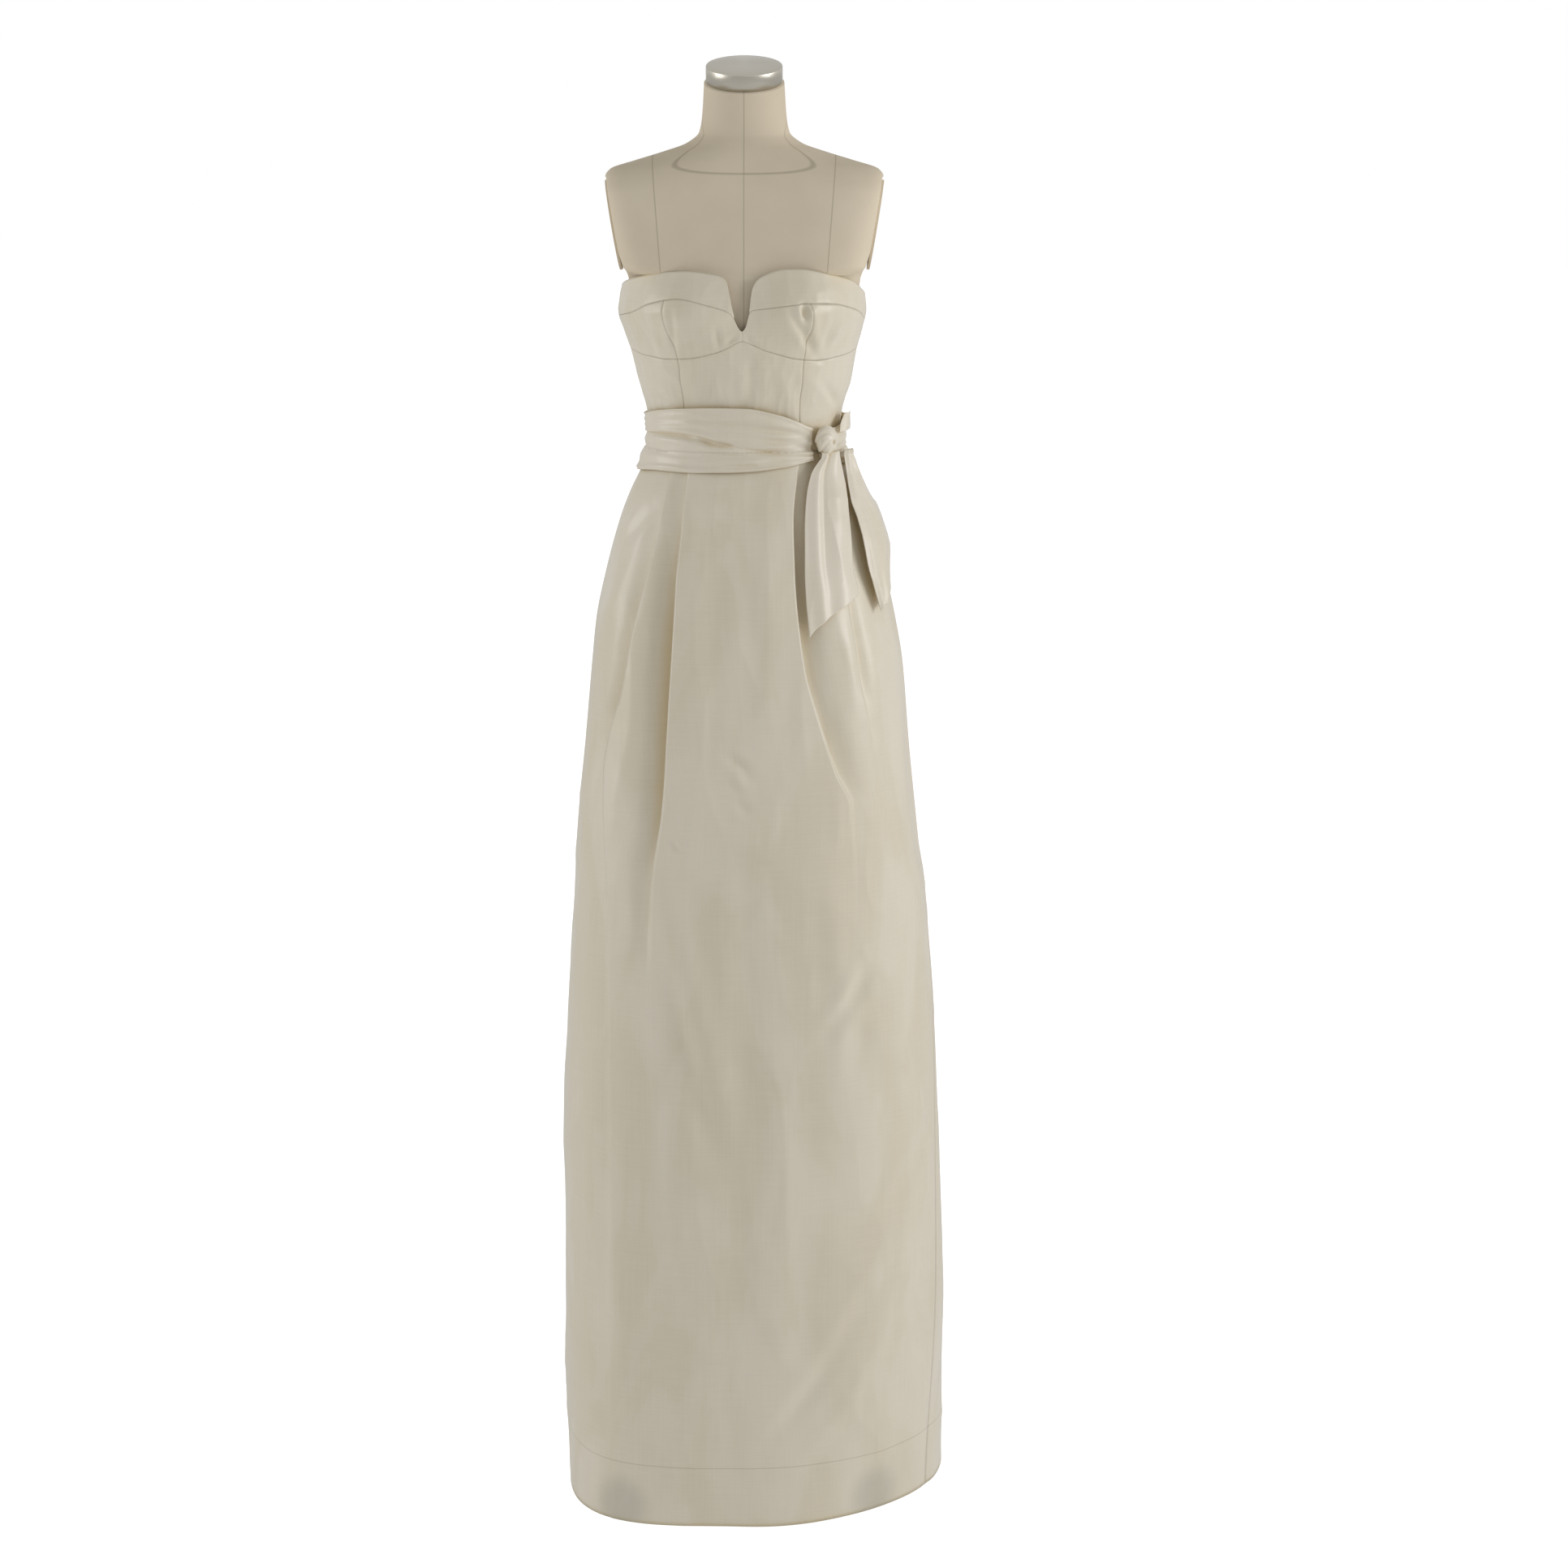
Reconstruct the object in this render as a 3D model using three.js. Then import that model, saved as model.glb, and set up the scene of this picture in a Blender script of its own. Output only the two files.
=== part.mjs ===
// A strapless wedding gown of silk taffeta with a tied sash, worn by a limbless dress form.
//
// Millimetres, +Z up.  The floor is Z = 0 and the gown faces -Y.  Round the form, a "turn" is an
// angle in degrees: 0 at the centre front, +90 at the +X side, -90 at the -X side and 180 at the
// centre back.  Every cloth piece is a thin wall through rings read from the tables below.
import * as THREE from 'three';

// ---------------------------------------------------------------- driving dimensions
const CLOTH_WALL = 1.5;            // taffeta with its seam turnings
const SASH_WALL = 2.4;             // sash cloth, folded on itself
const SEAM_GAP = 0.3;              // between neighbouring pieces
const FORM_EASE = 1.0;             // from the form to the inside of the cloth where it is tight

const WAIST_SEAM_Z = 1252;
const HEM_Z = 4;
const FORM_BOTTOM_Z = 842;
const NECK_TOP_Z = 1668;           // middle of the tilted neck plate
const NECK_TILT = 15.5;            // degrees, the neck plate leans forward
const CAP_RADIUS = 44;
const CAP_RIM = 20;
const CAP_DOME = 3;

const ARM_PLATE_HEIGHT = 104;
const ARM_PLATE_DEPTH = 74;
const ARM_PLATE_THICK = 3;
const ARM_PLATE_Z = 1507;          // height of its centre

const POLE_RADIUS = 12.5;
const HUB_RADIUS = 26;
const HUB_BOTTOM_Z = 92;
const HUB_TOP_Z = 124;
const FOOT_CIRCLE = 208;           // from the pole to the middle of a foot
const FOOT_RADIUS = 12;
const FOOT_HEIGHT = 30;
const LEG_WIDTH = 16;
const LEG_THICK = 14;

const DEG = Math.PI / 180;

// ---------------------------------------------------------------- tables
/** A table with named columns, read by height or turn with a smooth curve that never overshoots. */
function table(columns, rows) {
  const sorted = [...rows].sort((a, b) => a[0] - b[0]);
  const keys = sorted.map((row) => row[0]);
  const slopesOf = (values) => {
    const secants = keys.slice(1).map((k, i) => (values[i + 1] - values[i]) / (k - keys[i]));
    return values.map((_, i) => {
      if (i === 0) return secants[0];
      if (i === values.length - 1) return secants[i - 1];
      const before = secants[i - 1];
      const after = secants[i];
      return before * after <= 0 ? 0 : (2 * before * after) / (before + after);
    });
  };
  const curves = {};
  columns.slice(1).forEach((name, c) => {
    const values = sorted.map((row) => row[c + 1]);
    curves[name] = { values, slopes: slopesOf(values) };
  });
  return {
    at(name, key) {
      const { values, slopes } = curves[name];
      if (key <= keys[0]) return values[0];
      if (key >= keys[keys.length - 1]) return values[values.length - 1];
      const i = keys.findIndex((k) => k > key) - 1;
      const span = keys[i + 1] - keys[i];
      const t = (key - keys[i]) / span;
      const hermite = values[i] * (1 + 2 * t) * (1 - t) ** 2 + slopes[i] * span * t * (1 - t) ** 2;
      return hermite + values[i + 1] * t * t * (3 - 2 * t) - slopes[i + 1] * span * t * t * (1 - t);
    },
  };
}

// The form's sections: how far each reaches from the pole's axis, and how square it is (2 = an
// ellipse).
const FORM = table(['z', 'side', 'front', 'back', 'square'], [
  [842, 148, 112, 122, 2.1],
  [900, 153, 114, 128, 2.1],
  [980, 158, 112, 130, 2.1],
  [1060, 156, 108, 126, 2.1],
  [1130, 143, 98, 112, 2.05],
  [1190, 123, 87, 94, 2.0],
  [1230, 112, 81.5, 83.5, 2.0],
  [1252, 109.5, 80.5, 80.5, 2.0],
  [1285, 110, 81, 80, 2.0],
  [1300, 112.5, 83, 81, 2.0],
  [1330, 119, 87, 85, 2.05],
  [1361, 123, 91, 90, 2.1],
  [1390, 127.5, 93, 96, 2.2],
  [1420, 131, 93, 100, 2.3],
  [1446, 134, 91, 101, 2.4],
  [1462, 140, 89, 101, 2.45],
  [1480, 145.5, 86, 100, 2.5],
  [1520, 155, 79, 95, 2.6],
  [1550, 161, 72, 86, 2.5],
  [1563, 160, 68, 80, 2.4],
  [1571, 154, 65, 76, 2.3],
  [1580, 127, 62, 71, 2.2],
  [1590, 94, 58, 66, 2.1],
  [1600, 66, 53, 61, 2.0],
  [1612, 52, 48, 56, 2.0],
  [1630, 48.5, 45.5, 51, 2.0],
  [1668, 46, 45, 46, 2.0],
]);

// The bodice's outside.  Each side is given, because a gown never hangs quite evenly.
const BODICE = table(['z', 'left', 'right', 'front', 'back', 'square'], [
  [1252, 112, 112, 83, 83, 2.0],
  [1285, 112.5, 112.5, 83.5, 82.5, 2.0],
  [1300, 115.5, 115, 85.5, 83.5, 2.0],
  [1330, 124.5, 124.5, 91, 88, 2.05],
  [1361, 131.5, 129.5, 97, 95, 2.1],
  [1390, 141, 137, 101, 101, 2.2],
  [1410, 146.5, 141, 101, 104.5, 2.3],
  [1430, 144, 139.5, 99, 106, 2.35],
  [1446, 141.5, 137, 97, 107, 2.4],
  [1465, 141, 137, 94, 107, 2.4],
]);

// The skirt's outside, without its pleats.
const SKIRT = table(['z', 'left', 'right', 'front', 'back', 'squareLeft', 'squareRight'], [
  [4, 217.5, 241, 228, 228, 3.3, 2.0],
  [60, 218.5, 240, 227, 227, 3.2, 2.05],
  [200, 221, 241.5, 221, 222, 2.9, 2.2],
  [400, 221, 234.5, 210, 212, 2.7, 2.3],
  [600, 212, 225.5, 197, 200, 2.5, 2.35],
  [800, 201, 204.5, 179, 186, 2.4, 2.35],
  [900, 191, 194, 168, 177, 2.35, 2.3],
  [1000, 181.5, 185.5, 155, 166, 2.3, 2.25],
  [1050, 176, 177, 147, 158, 2.25, 2.2],
  [1110, 163, 163.5, 133, 143, 2.15, 2.15],
  [1170, 146, 146.5, 113, 121, 2.1, 2.1],
  [1200, 134.5, 135, 101, 107, 2.05, 2.05],
  [1230, 120, 120, 88.5, 91, 2.0, 2.0],
  [1252, 112, 112, 83, 83, 2.0, 2.0],
]);

// Where the skirt's side seams run: the gown is turned a little on the form.
const SIDE_SEAMS = table(['z', 'left', 'right'], [
  [4, -100, 65],
  [60, -100, 66],
  [514, -96, 76],
  [900, -92, 86],
  [1252, -90, 90],
]);

// The pleats' fold edges.  x is seen from the front, step is how far the edge stands over the cloth
// outside it, and hollow is the depth of the groove beside the edge.
const PLEATS = {
  outerLeft: table(['z', 'x', 'step', 'hollow'], [
    [1252, -82, 1.5, 0], [1152, -102, 5, 2], [1061, -124, 6, 5], [976, -141, 6, 6],
    [945, -152, 5, 5], [881, -163, 4, 3], [746, -161, 3, 1], [600, -159, 2, 0], [300, -159, 1, 0],
    [4, -157, 0.5, 0],
  ]),
  innerLeft: table(['z', 'x', 'step', 'hollow'], [
    [1252, -62, 1.5, 0], [1177, -70, 4, 2], [1102, -77, 7, 8], [980, -85, 8, 15],
    [850, -95, 6, 13], [757, -109, 3, 4], [640, -112, 0.5, 0], [4, -112, 0, 0],
  ]),
  innerRight: table(['z', 'x', 'step', 'hollow'], [
    [1252, 63, 1.5, 0], [1178, 56, 4, 4], [1125, 57.5, 6, 8], [1057, 63, 7, 9],
    [1010, 70, 5, 7], [960, 84, 4, 5], [892, 106, 2.5, 3], [850, 124, 1, 1], [700, 130, 0, 0],
    [4, 120, 0, 0],
  ]),
  outerRight: table(['z', 'x', 'step', 'hollow'], [
    [1252, 84, 1.5, 0], [1152, 104, 3, 1], [1075, 121, 4, 2], [975, 137, 3, 2],
    [880, 152, 1, 0], [700, 165, 0, 0], [4, 160, 0, 0],
  ]),
};

// Shallow pleats of the hidden back, by their turn from the centre back.
const BACK_PLEATS = [
  { turn: 26, step: 4, hollow: 5 },
  { turn: 52, step: 3, hollow: 3 },
];

// The bodice's column lines, by their turn at the neckline, the bust seam and the waist.
// "steps" is how many columns lead to the next line.
const BODICE_LINES = [
  { name: 'backLeft', top: -180, bust: -180, waist: -180, steps: 9 },
  { name: 'sideLeft', top: -88, bust: -88, waist: -88, steps: 5 },
  { name: 'princessLeft', top: -41, bust: -43, waist: -47, steps: 4 },
  { name: 'cornerLeft', top: -14.6, bust: -14.6, waist: -14.6, steps: 3 },
  { name: 'notchLeft', top: -5.8, bust: -5.8, waist: -5.8, steps: 2 },
  { name: 'centre', top: -1.3, bust: -1.3, waist: -1.3, steps: 2 },
  { name: 'notchRight', top: 3.4, bust: 3.4, waist: 3.4, steps: 3 },
  { name: 'cornerRight', top: 12.3, bust: 12.3, waist: 12.3, steps: 3 },
  { name: 'princessRight', top: 32, bust: 39, waist: 44, steps: 6 },
  { name: 'sideRight', top: 88, bust: 88, waist: 88, steps: 9 },
  { name: 'backRight', top: 180, bust: 180, waist: 180, steps: 0 },
];

// Heights of the bodice's cross seams, by turn.  neckline has the V notch at the centre front.
const CROSS_SEAMS = table(['turn', 'neckline', 'band', 'bust'], [
  [-180, 1416, 1385, 1372],
  [-120, 1427, 1394, 1371],
  [-88, 1438, 1403, 1368],
  [-65, 1450, 1410, 1361],
  [-50, 1456, 1422, 1358],
  [-35, 1458.5, 1428, 1359.5],
  [-19, 1455, 1420, 1366],
  [-14.6, 1453, 1417, 1369],
  [-11, 1448, 1414.5, 1372],
  [-8.7, 1434, 1412, 1374],
  [-5.8, 1409, 1405, 1377],
  [-3.5, 1396.5, 1396, 1379],
  [-1.3, 1392, 1391.5, 1380],
  [1.1, 1396.5, 1396, 1379],
  [3.4, 1416, 1412, 1377.5],
  [5, 1437, 1415, 1376],
  [7.8, 1447.5, 1416, 1374],
  [12.3, 1453.5, 1417, 1370],
  [25.6, 1461, 1421, 1362.5],
  [33, 1461, 1423, 1359],
  [48, 1455.5, 1421.5, 1356.5],
  [63, 1448, 1415, 1360],
  [88, 1427, 1397, 1368],
  [120, 1420, 1390, 1371],
  [180, 1416, 1385, 1372],
]);

// The two bust cups: a rounded rise on the bodice, at a turn and a height.
const CUPS = [{ turn: -33 }, { turn: 33 }];
const CUP = { z: 1414, rise: 21, across: 25, above: 46, below: 34 };

// The sash round the waist: heights of its edges and of the split between its two wraps.
const SASH = table(['turn', 'top', 'split', 'bottom'], [
  [-180, 1296, 1262, 1228],
  [-120, 1293, 1266, 1226],
  [-90, 1291, 1269, 1225.5],
  [-62, 1298, 1271, 1229],
  [-40, 1302, 1270, 1228.5],
  [-21, 1303.5, 1264, 1229.4],
  [0, 1303, 1256, 1230.5],
  [25, 1295, 1250, 1234],
  [40, 1286, 1247, 1238],
  [50, 1279, 1246, 1241],
  [66, 1277, 1249, 1238],
  [90, 1287, 1253, 1231],
  [120, 1292, 1258, 1229],
  [180, 1296, 1262, 1228],
]);
const KNOT = { turn: 55.5, z: 1264, width: 30, height: 32, depth: 23, clear: 2.6 };
const SASH_START = 67;             // each wrap leaves the knot here, goes round the back ...
const SASH_END = 407;              // ... and comes back to the knot, 360 + 47

// Crushed folds across each wrap, from its top edge to its bottom edge, as how far they stand out.
const UPPER_RIDGES = [0.4, 3.6, 1.6, 4.4, 2.0, 4.8, 1.2];
const LOWER_RIDGES = [0.4, 4.2, 1.8, 4.6, 2.4, 3.4, 0.4];

// The front tail: where its two long edges hang, seen from the front, and how far it stands off
// the skirt.
const TAIL_FRONT = table(['z', 'left', 'right', 'lift'], [
  [1047, 73, 128, 2],
  [1092, 69, 127.5, 2],
  [1127, 67.5, 121, 3],
  [1165, 67.5, 118.5, 4],
  [1204, 69.5, 114, 6],
  [1227, 74, 110, 8.5],
  [1246, 86, 106, 11],
]);
const TAIL_FRONT_TOP = 1246;
const TAIL_FRONT_END = { left: 1047, right: 1091 };

// The side tail, which lies on the side of the hip.
const TAIL_SIDE = table(['z', 'left', 'right', 'lift'], [
  [1069, 154, 160, 2],
  [1091, 148, 166, 4],
  [1116, 141, 166, 6],
  [1141, 136, 166, 8],
  [1175, 127, 156, 7],
  [1197, 119, 143, 6],
  [1225, 115, 130, 8],
  [1246, 112, 122, 11],
]);
const TAIL_SIDE_TOP = 1246;
const TAIL_SIDE_END = { left: 1069, right: 1080 };

// The short end that stands up behind the knot.
const EAR = table(['z', 'left', 'right', 'lift'], [
  [1270, 108, 119, 8],
  [1281, 109, 120, 8],
  [1294, 113, 119, 7],
]);

// ---------------------------------------------------------------- surfaces
const wrapTurn = (turn) => ((((turn + 180) % 360) + 360) % 360) - 180;
const mix = (a, b, t) => a + (b - a) * t;
const bell = (distance, width) => Math.exp(-((distance / width) ** 2));

/** Distance from the axis to a rounded-square outline, at a turn. */
function outlineRadius(turn, side, depth, square) {
  const across = Math.abs(Math.sin(turn * DEG)) / side;
  const along = Math.abs(Math.cos(turn * DEG)) / depth;
  return (across ** square + along ** square) ** (-1 / square);
}

function placeAt(turn, radius, z) {
  return new THREE.Vector3(radius * Math.sin(turn * DEG), -radius * Math.cos(turn * DEG), z);
}

function cupRise(turn, z) {
  const height = z > CUP.z ? CUP.above : CUP.below;
  return CUPS.reduce((sum, cup) => sum + CUP.rise * bell(turn - cup.turn, CUP.across)
    * bell(z - CUP.z, height), 0);
}

function formRadius(turn, z) {
  const depth = FORM.at(Math.abs(turn) <= 90 ? 'front' : 'back', z);
  return outlineRadius(turn, FORM.at('side', z), depth, FORM.at('square', z)) + 0.9 * cupRise(turn, z);
}

function bodiceRadius(turn, z) {
  const side = BODICE.at(turn < 0 ? 'left' : 'right', z);
  const depth = BODICE.at(Math.abs(turn) <= 90 ? 'front' : 'back', z);
  return outlineRadius(turn, side, depth, BODICE.at('square', z)) + cupRise(turn, z);
}

function plainSkirtRadius(turn, z) {
  const side = SKIRT.at(turn < 0 ? 'left' : 'right', z);
  const depth = SKIRT.at(Math.abs(turn) <= 90 ? 'front' : 'back', z);
  return outlineRadius(turn, side, depth, SKIRT.at(turn < 0 ? 'squareLeft' : 'squareRight', z));
}

/** The turn at which the plain skirt, moved out by a lift, has this x as seen from the front. */
function turnAtX(x, z, lift = 0) {
  let low = -90;
  let high = 90;
  for (let i = 0; i < 24; i += 1) {
    const middle = (low + high) / 2;
    if ((plainSkirtRadius(middle, z) + lift) * Math.sin(middle * DEG) < x) low = middle;
    else high = middle;
  }
  return (low + high) / 2;
}

/** How far one pleat lifts or sinks the cloth at a distance outward from its fold edge. */
function pleatRelief(outward, step, hollow) {
  if (outward < 0) return 0.55 * step * bell(outward, 42);
  return -0.45 * step * bell(outward, 34) - hollow * bell(outward - 6, 15);
}

function frontPleats(turn, z) {
  const radius = plainSkirtRadius(turn, z);
  return Object.values(PLEATS).reduce((sum, pleat) => {
    const x = pleat.at('x', z);
    const outward = (turn - turnAtX(x, z)) * DEG * radius * Math.sign(x);
    return sum + pleatRelief(outward, pleat.at('step', z), pleat.at('hollow', z));
  }, 0);
}

function backPleats(turn, z) {
  const fade = Math.min(1, Math.max(0, (z - 760) / 260)) * Math.min(1, (1258 - z) / 90);
  const fromBack = 180 - Math.abs(turn);
  const radius = plainSkirtRadius(turn, z);
  return BACK_PLEATS.reduce((sum, pleat) => {
    const outward = (fromBack - pleat.turn) * DEG * radius;
    return sum + fade * pleatRelief(outward, pleat.step, pleat.hollow);
  }, 0);
}

function skirtRadius(turn, z) {
  return plainSkirtRadius(turn, z) + (Math.abs(turn) <= 90 ? frontPleats(turn, z) : backPleats(turn, z));
}

/** The outside of what lies under the sash: the bodice above the waist seam, the skirt below it. */
function waistRadius(turn, z) {
  return z >= WAIST_SEAM_Z ? bodiceRadius(turn, z) : plainSkirtRadius(turn, z) + 1.5;
}

// ---------------------------------------------------------------- meshes
function meshFrom(name, points, triangles, finish) {
  const geometry = new THREE.BufferGeometry();
  geometry.setAttribute('position', new THREE.Float32BufferAttribute(points.flatMap((p) => [p.x, p.y, p.z]), 3));
  geometry.setIndex(triangles.flat());
  geometry.computeVertexNormals();
  const mesh = new THREE.Mesh(geometry, new THREE.MeshStandardMaterial(finish));
  mesh.name = name;
  return mesh;
}

/**
 * Level outward direction at each point of a grid whose rows go down and whose columns go by turn.
 * The first and last columns point straight out from the axis, so that pieces that meet at a seam
 * share that direction.
 */
function wallDirections(grid) {
  return grid.map((row) => row.map((point, j) => {
    const atSeam = j === 0 || j === row.length - 1;
    if (atSeam) return new THREE.Vector3(point.x, point.y, 0).normalize();
    const across = row[j + 1].clone().sub(row[j - 1]);
    return new THREE.Vector3(across.y, -across.x, 0).normalize();
  }));
}

/** A closed wall of cloth: the grid is its outside, and its inside is the grid moved inwards. */
function clothWall(name, grid, wall, finish) {
  const rows = grid.length;
  const columns = grid[0].length;
  const directions = wallDirections(grid).flat();
  const outside = grid.flat();
  const inside = outside.map((p, k) => p.clone().addScaledVector(directions[k], -wall));
  const points = [...outside, ...inside];
  const out = (i, j) => i * columns + j;
  const inn = (i, j) => outside.length + i * columns + j;
  const triangles = [];
  for (let i = 0; i < rows - 1; i += 1) {
    for (let j = 0; j < columns - 1; j += 1) {
      triangles.push([out(i, j), out(i + 1, j), out(i, j + 1)]);
      triangles.push([out(i, j + 1), out(i + 1, j), out(i + 1, j + 1)]);
      triangles.push([inn(i, j), inn(i, j + 1), inn(i + 1, j)]);
      triangles.push([inn(i, j + 1), inn(i + 1, j + 1), inn(i + 1, j)]);
    }
  }
  for (let j = 0; j < columns - 1; j += 1) {
    const last = rows - 1;
    triangles.push([out(0, j), out(0, j + 1), inn(0, j + 1)], [out(0, j), inn(0, j + 1), inn(0, j)]);
    triangles.push([out(last, j), inn(last, j), inn(last, j + 1)]);
    triangles.push([out(last, j), inn(last, j + 1), out(last, j + 1)]);
  }
  for (let i = 0; i < rows - 1; i += 1) {
    const last = columns - 1;
    triangles.push([out(i, 0), inn(i, 0), inn(i + 1, 0)], [out(i, 0), inn(i + 1, 0), out(i + 1, 0)]);
    triangles.push([out(i, last), out(i + 1, last), inn(i + 1, last)]);
    triangles.push([out(i, last), inn(i + 1, last), inn(i, last)]);
  }
  return meshFrom(name, points, triangles, finish);
}

/** A closed solid through whole rings, from the top ring down, with flat ends. */
function loftedSolid(name, rings, finish) {
  const columns = rings[0].length;
  const points = rings.flat();
  const middleOf = (ring) => ring.reduce((sum, p) => sum.add(p), new THREE.Vector3()).divideScalar(columns);
  const top = points.push(middleOf(rings[0])) - 1;
  const bottom = points.push(middleOf(rings[rings.length - 1])) - 1;
  const at = (i, j) => i * columns + (j % columns);
  const triangles = [];
  for (let j = 0; j < columns; j += 1) {
    for (let i = 0; i < rings.length - 1; i += 1) {
      triangles.push([at(i, j), at(i + 1, j), at(i, j + 1)]);
      triangles.push([at(i, j + 1), at(i + 1, j), at(i + 1, j + 1)]);
    }
    triangles.push([top, at(0, j), at(0, j + 1)]);
    triangles.push([bottom, at(rings.length - 1, j + 1), at(rings.length - 1, j)]);
  }
  return meshFrom(name, points, triangles, finish);
}

// ---------------------------------------------------------------- finishes
const TAFFETA = { color: 0xeae2d2, roughness: 0.5, metalness: 0, side: THREE.DoubleSide };
const TAFFETA_SASH = { color: 0xefe8da, roughness: 0.45, metalness: 0, side: THREE.DoubleSide };
const LINEN = { color: 0xd2c4ae, roughness: 0.95, metalness: 0 };
const BRUSHED_STEEL = { color: 0xb9b4a8, roughness: 0.35, metalness: 1 };
const PAINTED_STEEL = { color: 0x4a4d4b, roughness: 0.5, metalness: 0.2 };
const RUBBER = { color: 0x2b2c2b, roughness: 0.85, metalness: 0 };

// ---------------------------------------------------------------- bodice
/** Turns of the bodice's columns at one height, with the column at which each named line lies. */
function bodiceColumns(z) {
  const turns = [];
  const lineAt = (line) => (z > 1360 ? mix(line.bust, line.top, Math.min(1, (z - 1360) / 80))
    : mix(line.bust, line.waist, (1360 - z) / (1360 - WAIST_SEAM_Z)));
  BODICE_LINES.forEach((line, k) => {
    const next = BODICE_LINES[Math.min(k + 1, BODICE_LINES.length - 1)];
    for (let s = 0; s < Math.max(1, line.steps); s += 1) {
      turns.push(mix(lineAt(line), lineAt(next), line.steps ? s / line.steps : 0));
    }
  });
  return turns;
}

function bodiceColumnOf(name) {
  const k = BODICE_LINES.findIndex((line) => line.name === name);
  return BODICE_LINES.slice(0, k).reduce((sum, line) => sum + line.steps, 0);
}

/** Height of a cross seam at a turn.  The waist seam is level. */
function crossSeam(seam, turn) {
  return seam === 'waist' ? WAIST_SEAM_Z : CROSS_SEAMS.at(seam, turn);
}

/** One bodice piece: the block between two column lines and two cross seams. */
function bodicePiece(name, fromLine, toLine, upperSeam, lowerSeam, rows) {
  const from = bodiceColumnOf(fromLine);
  const to = bodiceColumnOf(toLine);
  const inset = (SEAM_GAP / 2);
  const middleZ = { neckline: 1440, band: 1415, bust: 1360, waist: WAIST_SEAM_Z };
  const upper = bodiceColumns(middleZ[upperSeam]);
  const lower = bodiceColumns(middleZ[lowerSeam]);
  const grid = [];
  for (let i = 0; i <= rows; i += 1) {
    const t = i / rows;
    const row = [];
    for (let j = from; j <= to; j += 1) {
      let turn = mix(upper[j], lower[j], t);
      const top = crossSeam(upperSeam, upper[j]) - (upperSeam === 'neckline' ? 0 : inset);
      const bottom = crossSeam(lowerSeam, lower[j]) + inset;
      const z = mix(top, bottom, t);
      const gapTurn = inset / bodiceRadius(turn, z) / DEG;
      if (j === from) turn += gapTurn;
      if (j === to) turn -= gapTurn;
      row.push(placeAt(turn, bodiceRadius(turn, z), z));
    }
    grid.push(row);
  }
  return clothWall(name, grid, CLOTH_WALL, TAFFETA);
}

function bodice() {
  return [
    bodicePiece('bodice_band_left', 'backLeft', 'notchLeft', 'neckline', 'band', 2),
    bodicePiece('bodice_band_right', 'notchRight', 'backRight', 'neckline', 'band', 2),
    bodicePiece('cup_outer_left', 'sideLeft', 'princessLeft', 'band', 'bust', 4),
    bodicePiece('cup_inner_left', 'princessLeft', 'centre', 'band', 'bust', 4),
    bodicePiece('cup_inner_right', 'centre', 'princessRight', 'band', 'bust', 4),
    bodicePiece('cup_outer_right', 'princessRight', 'sideRight', 'band', 'bust', 4),
    bodicePiece('midriff_side_left', 'sideLeft', 'princessLeft', 'bust', 'waist', 4),
    bodicePiece('midriff_front', 'princessLeft', 'princessRight', 'bust', 'waist', 4),
    bodicePiece('midriff_side_right', 'princessRight', 'sideRight', 'bust', 'waist', 4),
    bodicePiece('bodice_back_left', 'backLeft', 'sideLeft', 'band', 'waist', 6),
    bodicePiece('bodice_back_right', 'sideRight', 'backRight', 'band', 'waist', 6),
  ];
}

// ---------------------------------------------------------------- skirt
const SKIRT_ROWS = [WAIST_SEAM_Z - SEAM_GAP, 1232, 1208, 1180, 1145, 1105, 1060, 1015, 970, 925, 880,
  830, 770, 700, 620, 530, 440, 350, 260, 170, 90, 40, HEM_Z];
const FOLD_EDGE = 1.1;             // half the width of the riser at a pleat's fold edge

/** Turns of the skirt front's columns at one height: each pleat has a column on both sides. */
function skirtFrontTurns(z) {
  const edge = FOLD_EDGE / plainSkirtRadius(0, z) / DEG;
  const gap = SEAM_GAP / 2 / plainSkirtRadius(90, z) / DEG;
  const [a, b, c, d] = Object.values(PLEATS).map((pleat) => turnAtX(pleat.at('x', z), z));
  const bays = [
    { from: SIDE_SEAMS.at('left', z) + gap, to: a - edge, steps: 5 },
    { from: a + edge, to: b - edge, steps: 3 },
    { from: b + edge, to: c - edge, steps: 8 },
    { from: c + edge, to: d - edge, steps: 3 },
    { from: d + edge, to: SIDE_SEAMS.at('right', z) - gap, steps: 4 },
  ];
  return bays.flatMap(({ from, to, steps }) => Array.from({ length: steps + 1 }, (_, s) => mix(from, to, s / steps)));
}

function skirtBackTurns(side, z) {
  const seam = SIDE_SEAMS.at(side, z);
  const gap = SEAM_GAP / 2 / plainSkirtRadius(180, z) / DEG;
  const steps = 11;
  const from = side === 'left' ? -180 + gap : seam + gap;
  const to = side === 'left' ? seam - gap : 180 - gap;
  return Array.from({ length: steps + 1 }, (_, s) => mix(from, to, s / steps));
}

function skirtPanel(name, turnsAt) {
  const grid = SKIRT_ROWS.map((z) => turnsAt(z).map((turn) => placeAt(turn, skirtRadius(turn, z), z)));
  return clothWall(name, grid, CLOTH_WALL, TAFFETA);
}

function skirt() {
  return [
    skirtPanel('skirt_front', skirtFrontTurns),
    skirtPanel('skirt_back_left', (z) => skirtBackTurns('left', z)),
    skirtPanel('skirt_back_right', (z) => skirtBackTurns('right', z)),
  ];
}

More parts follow.
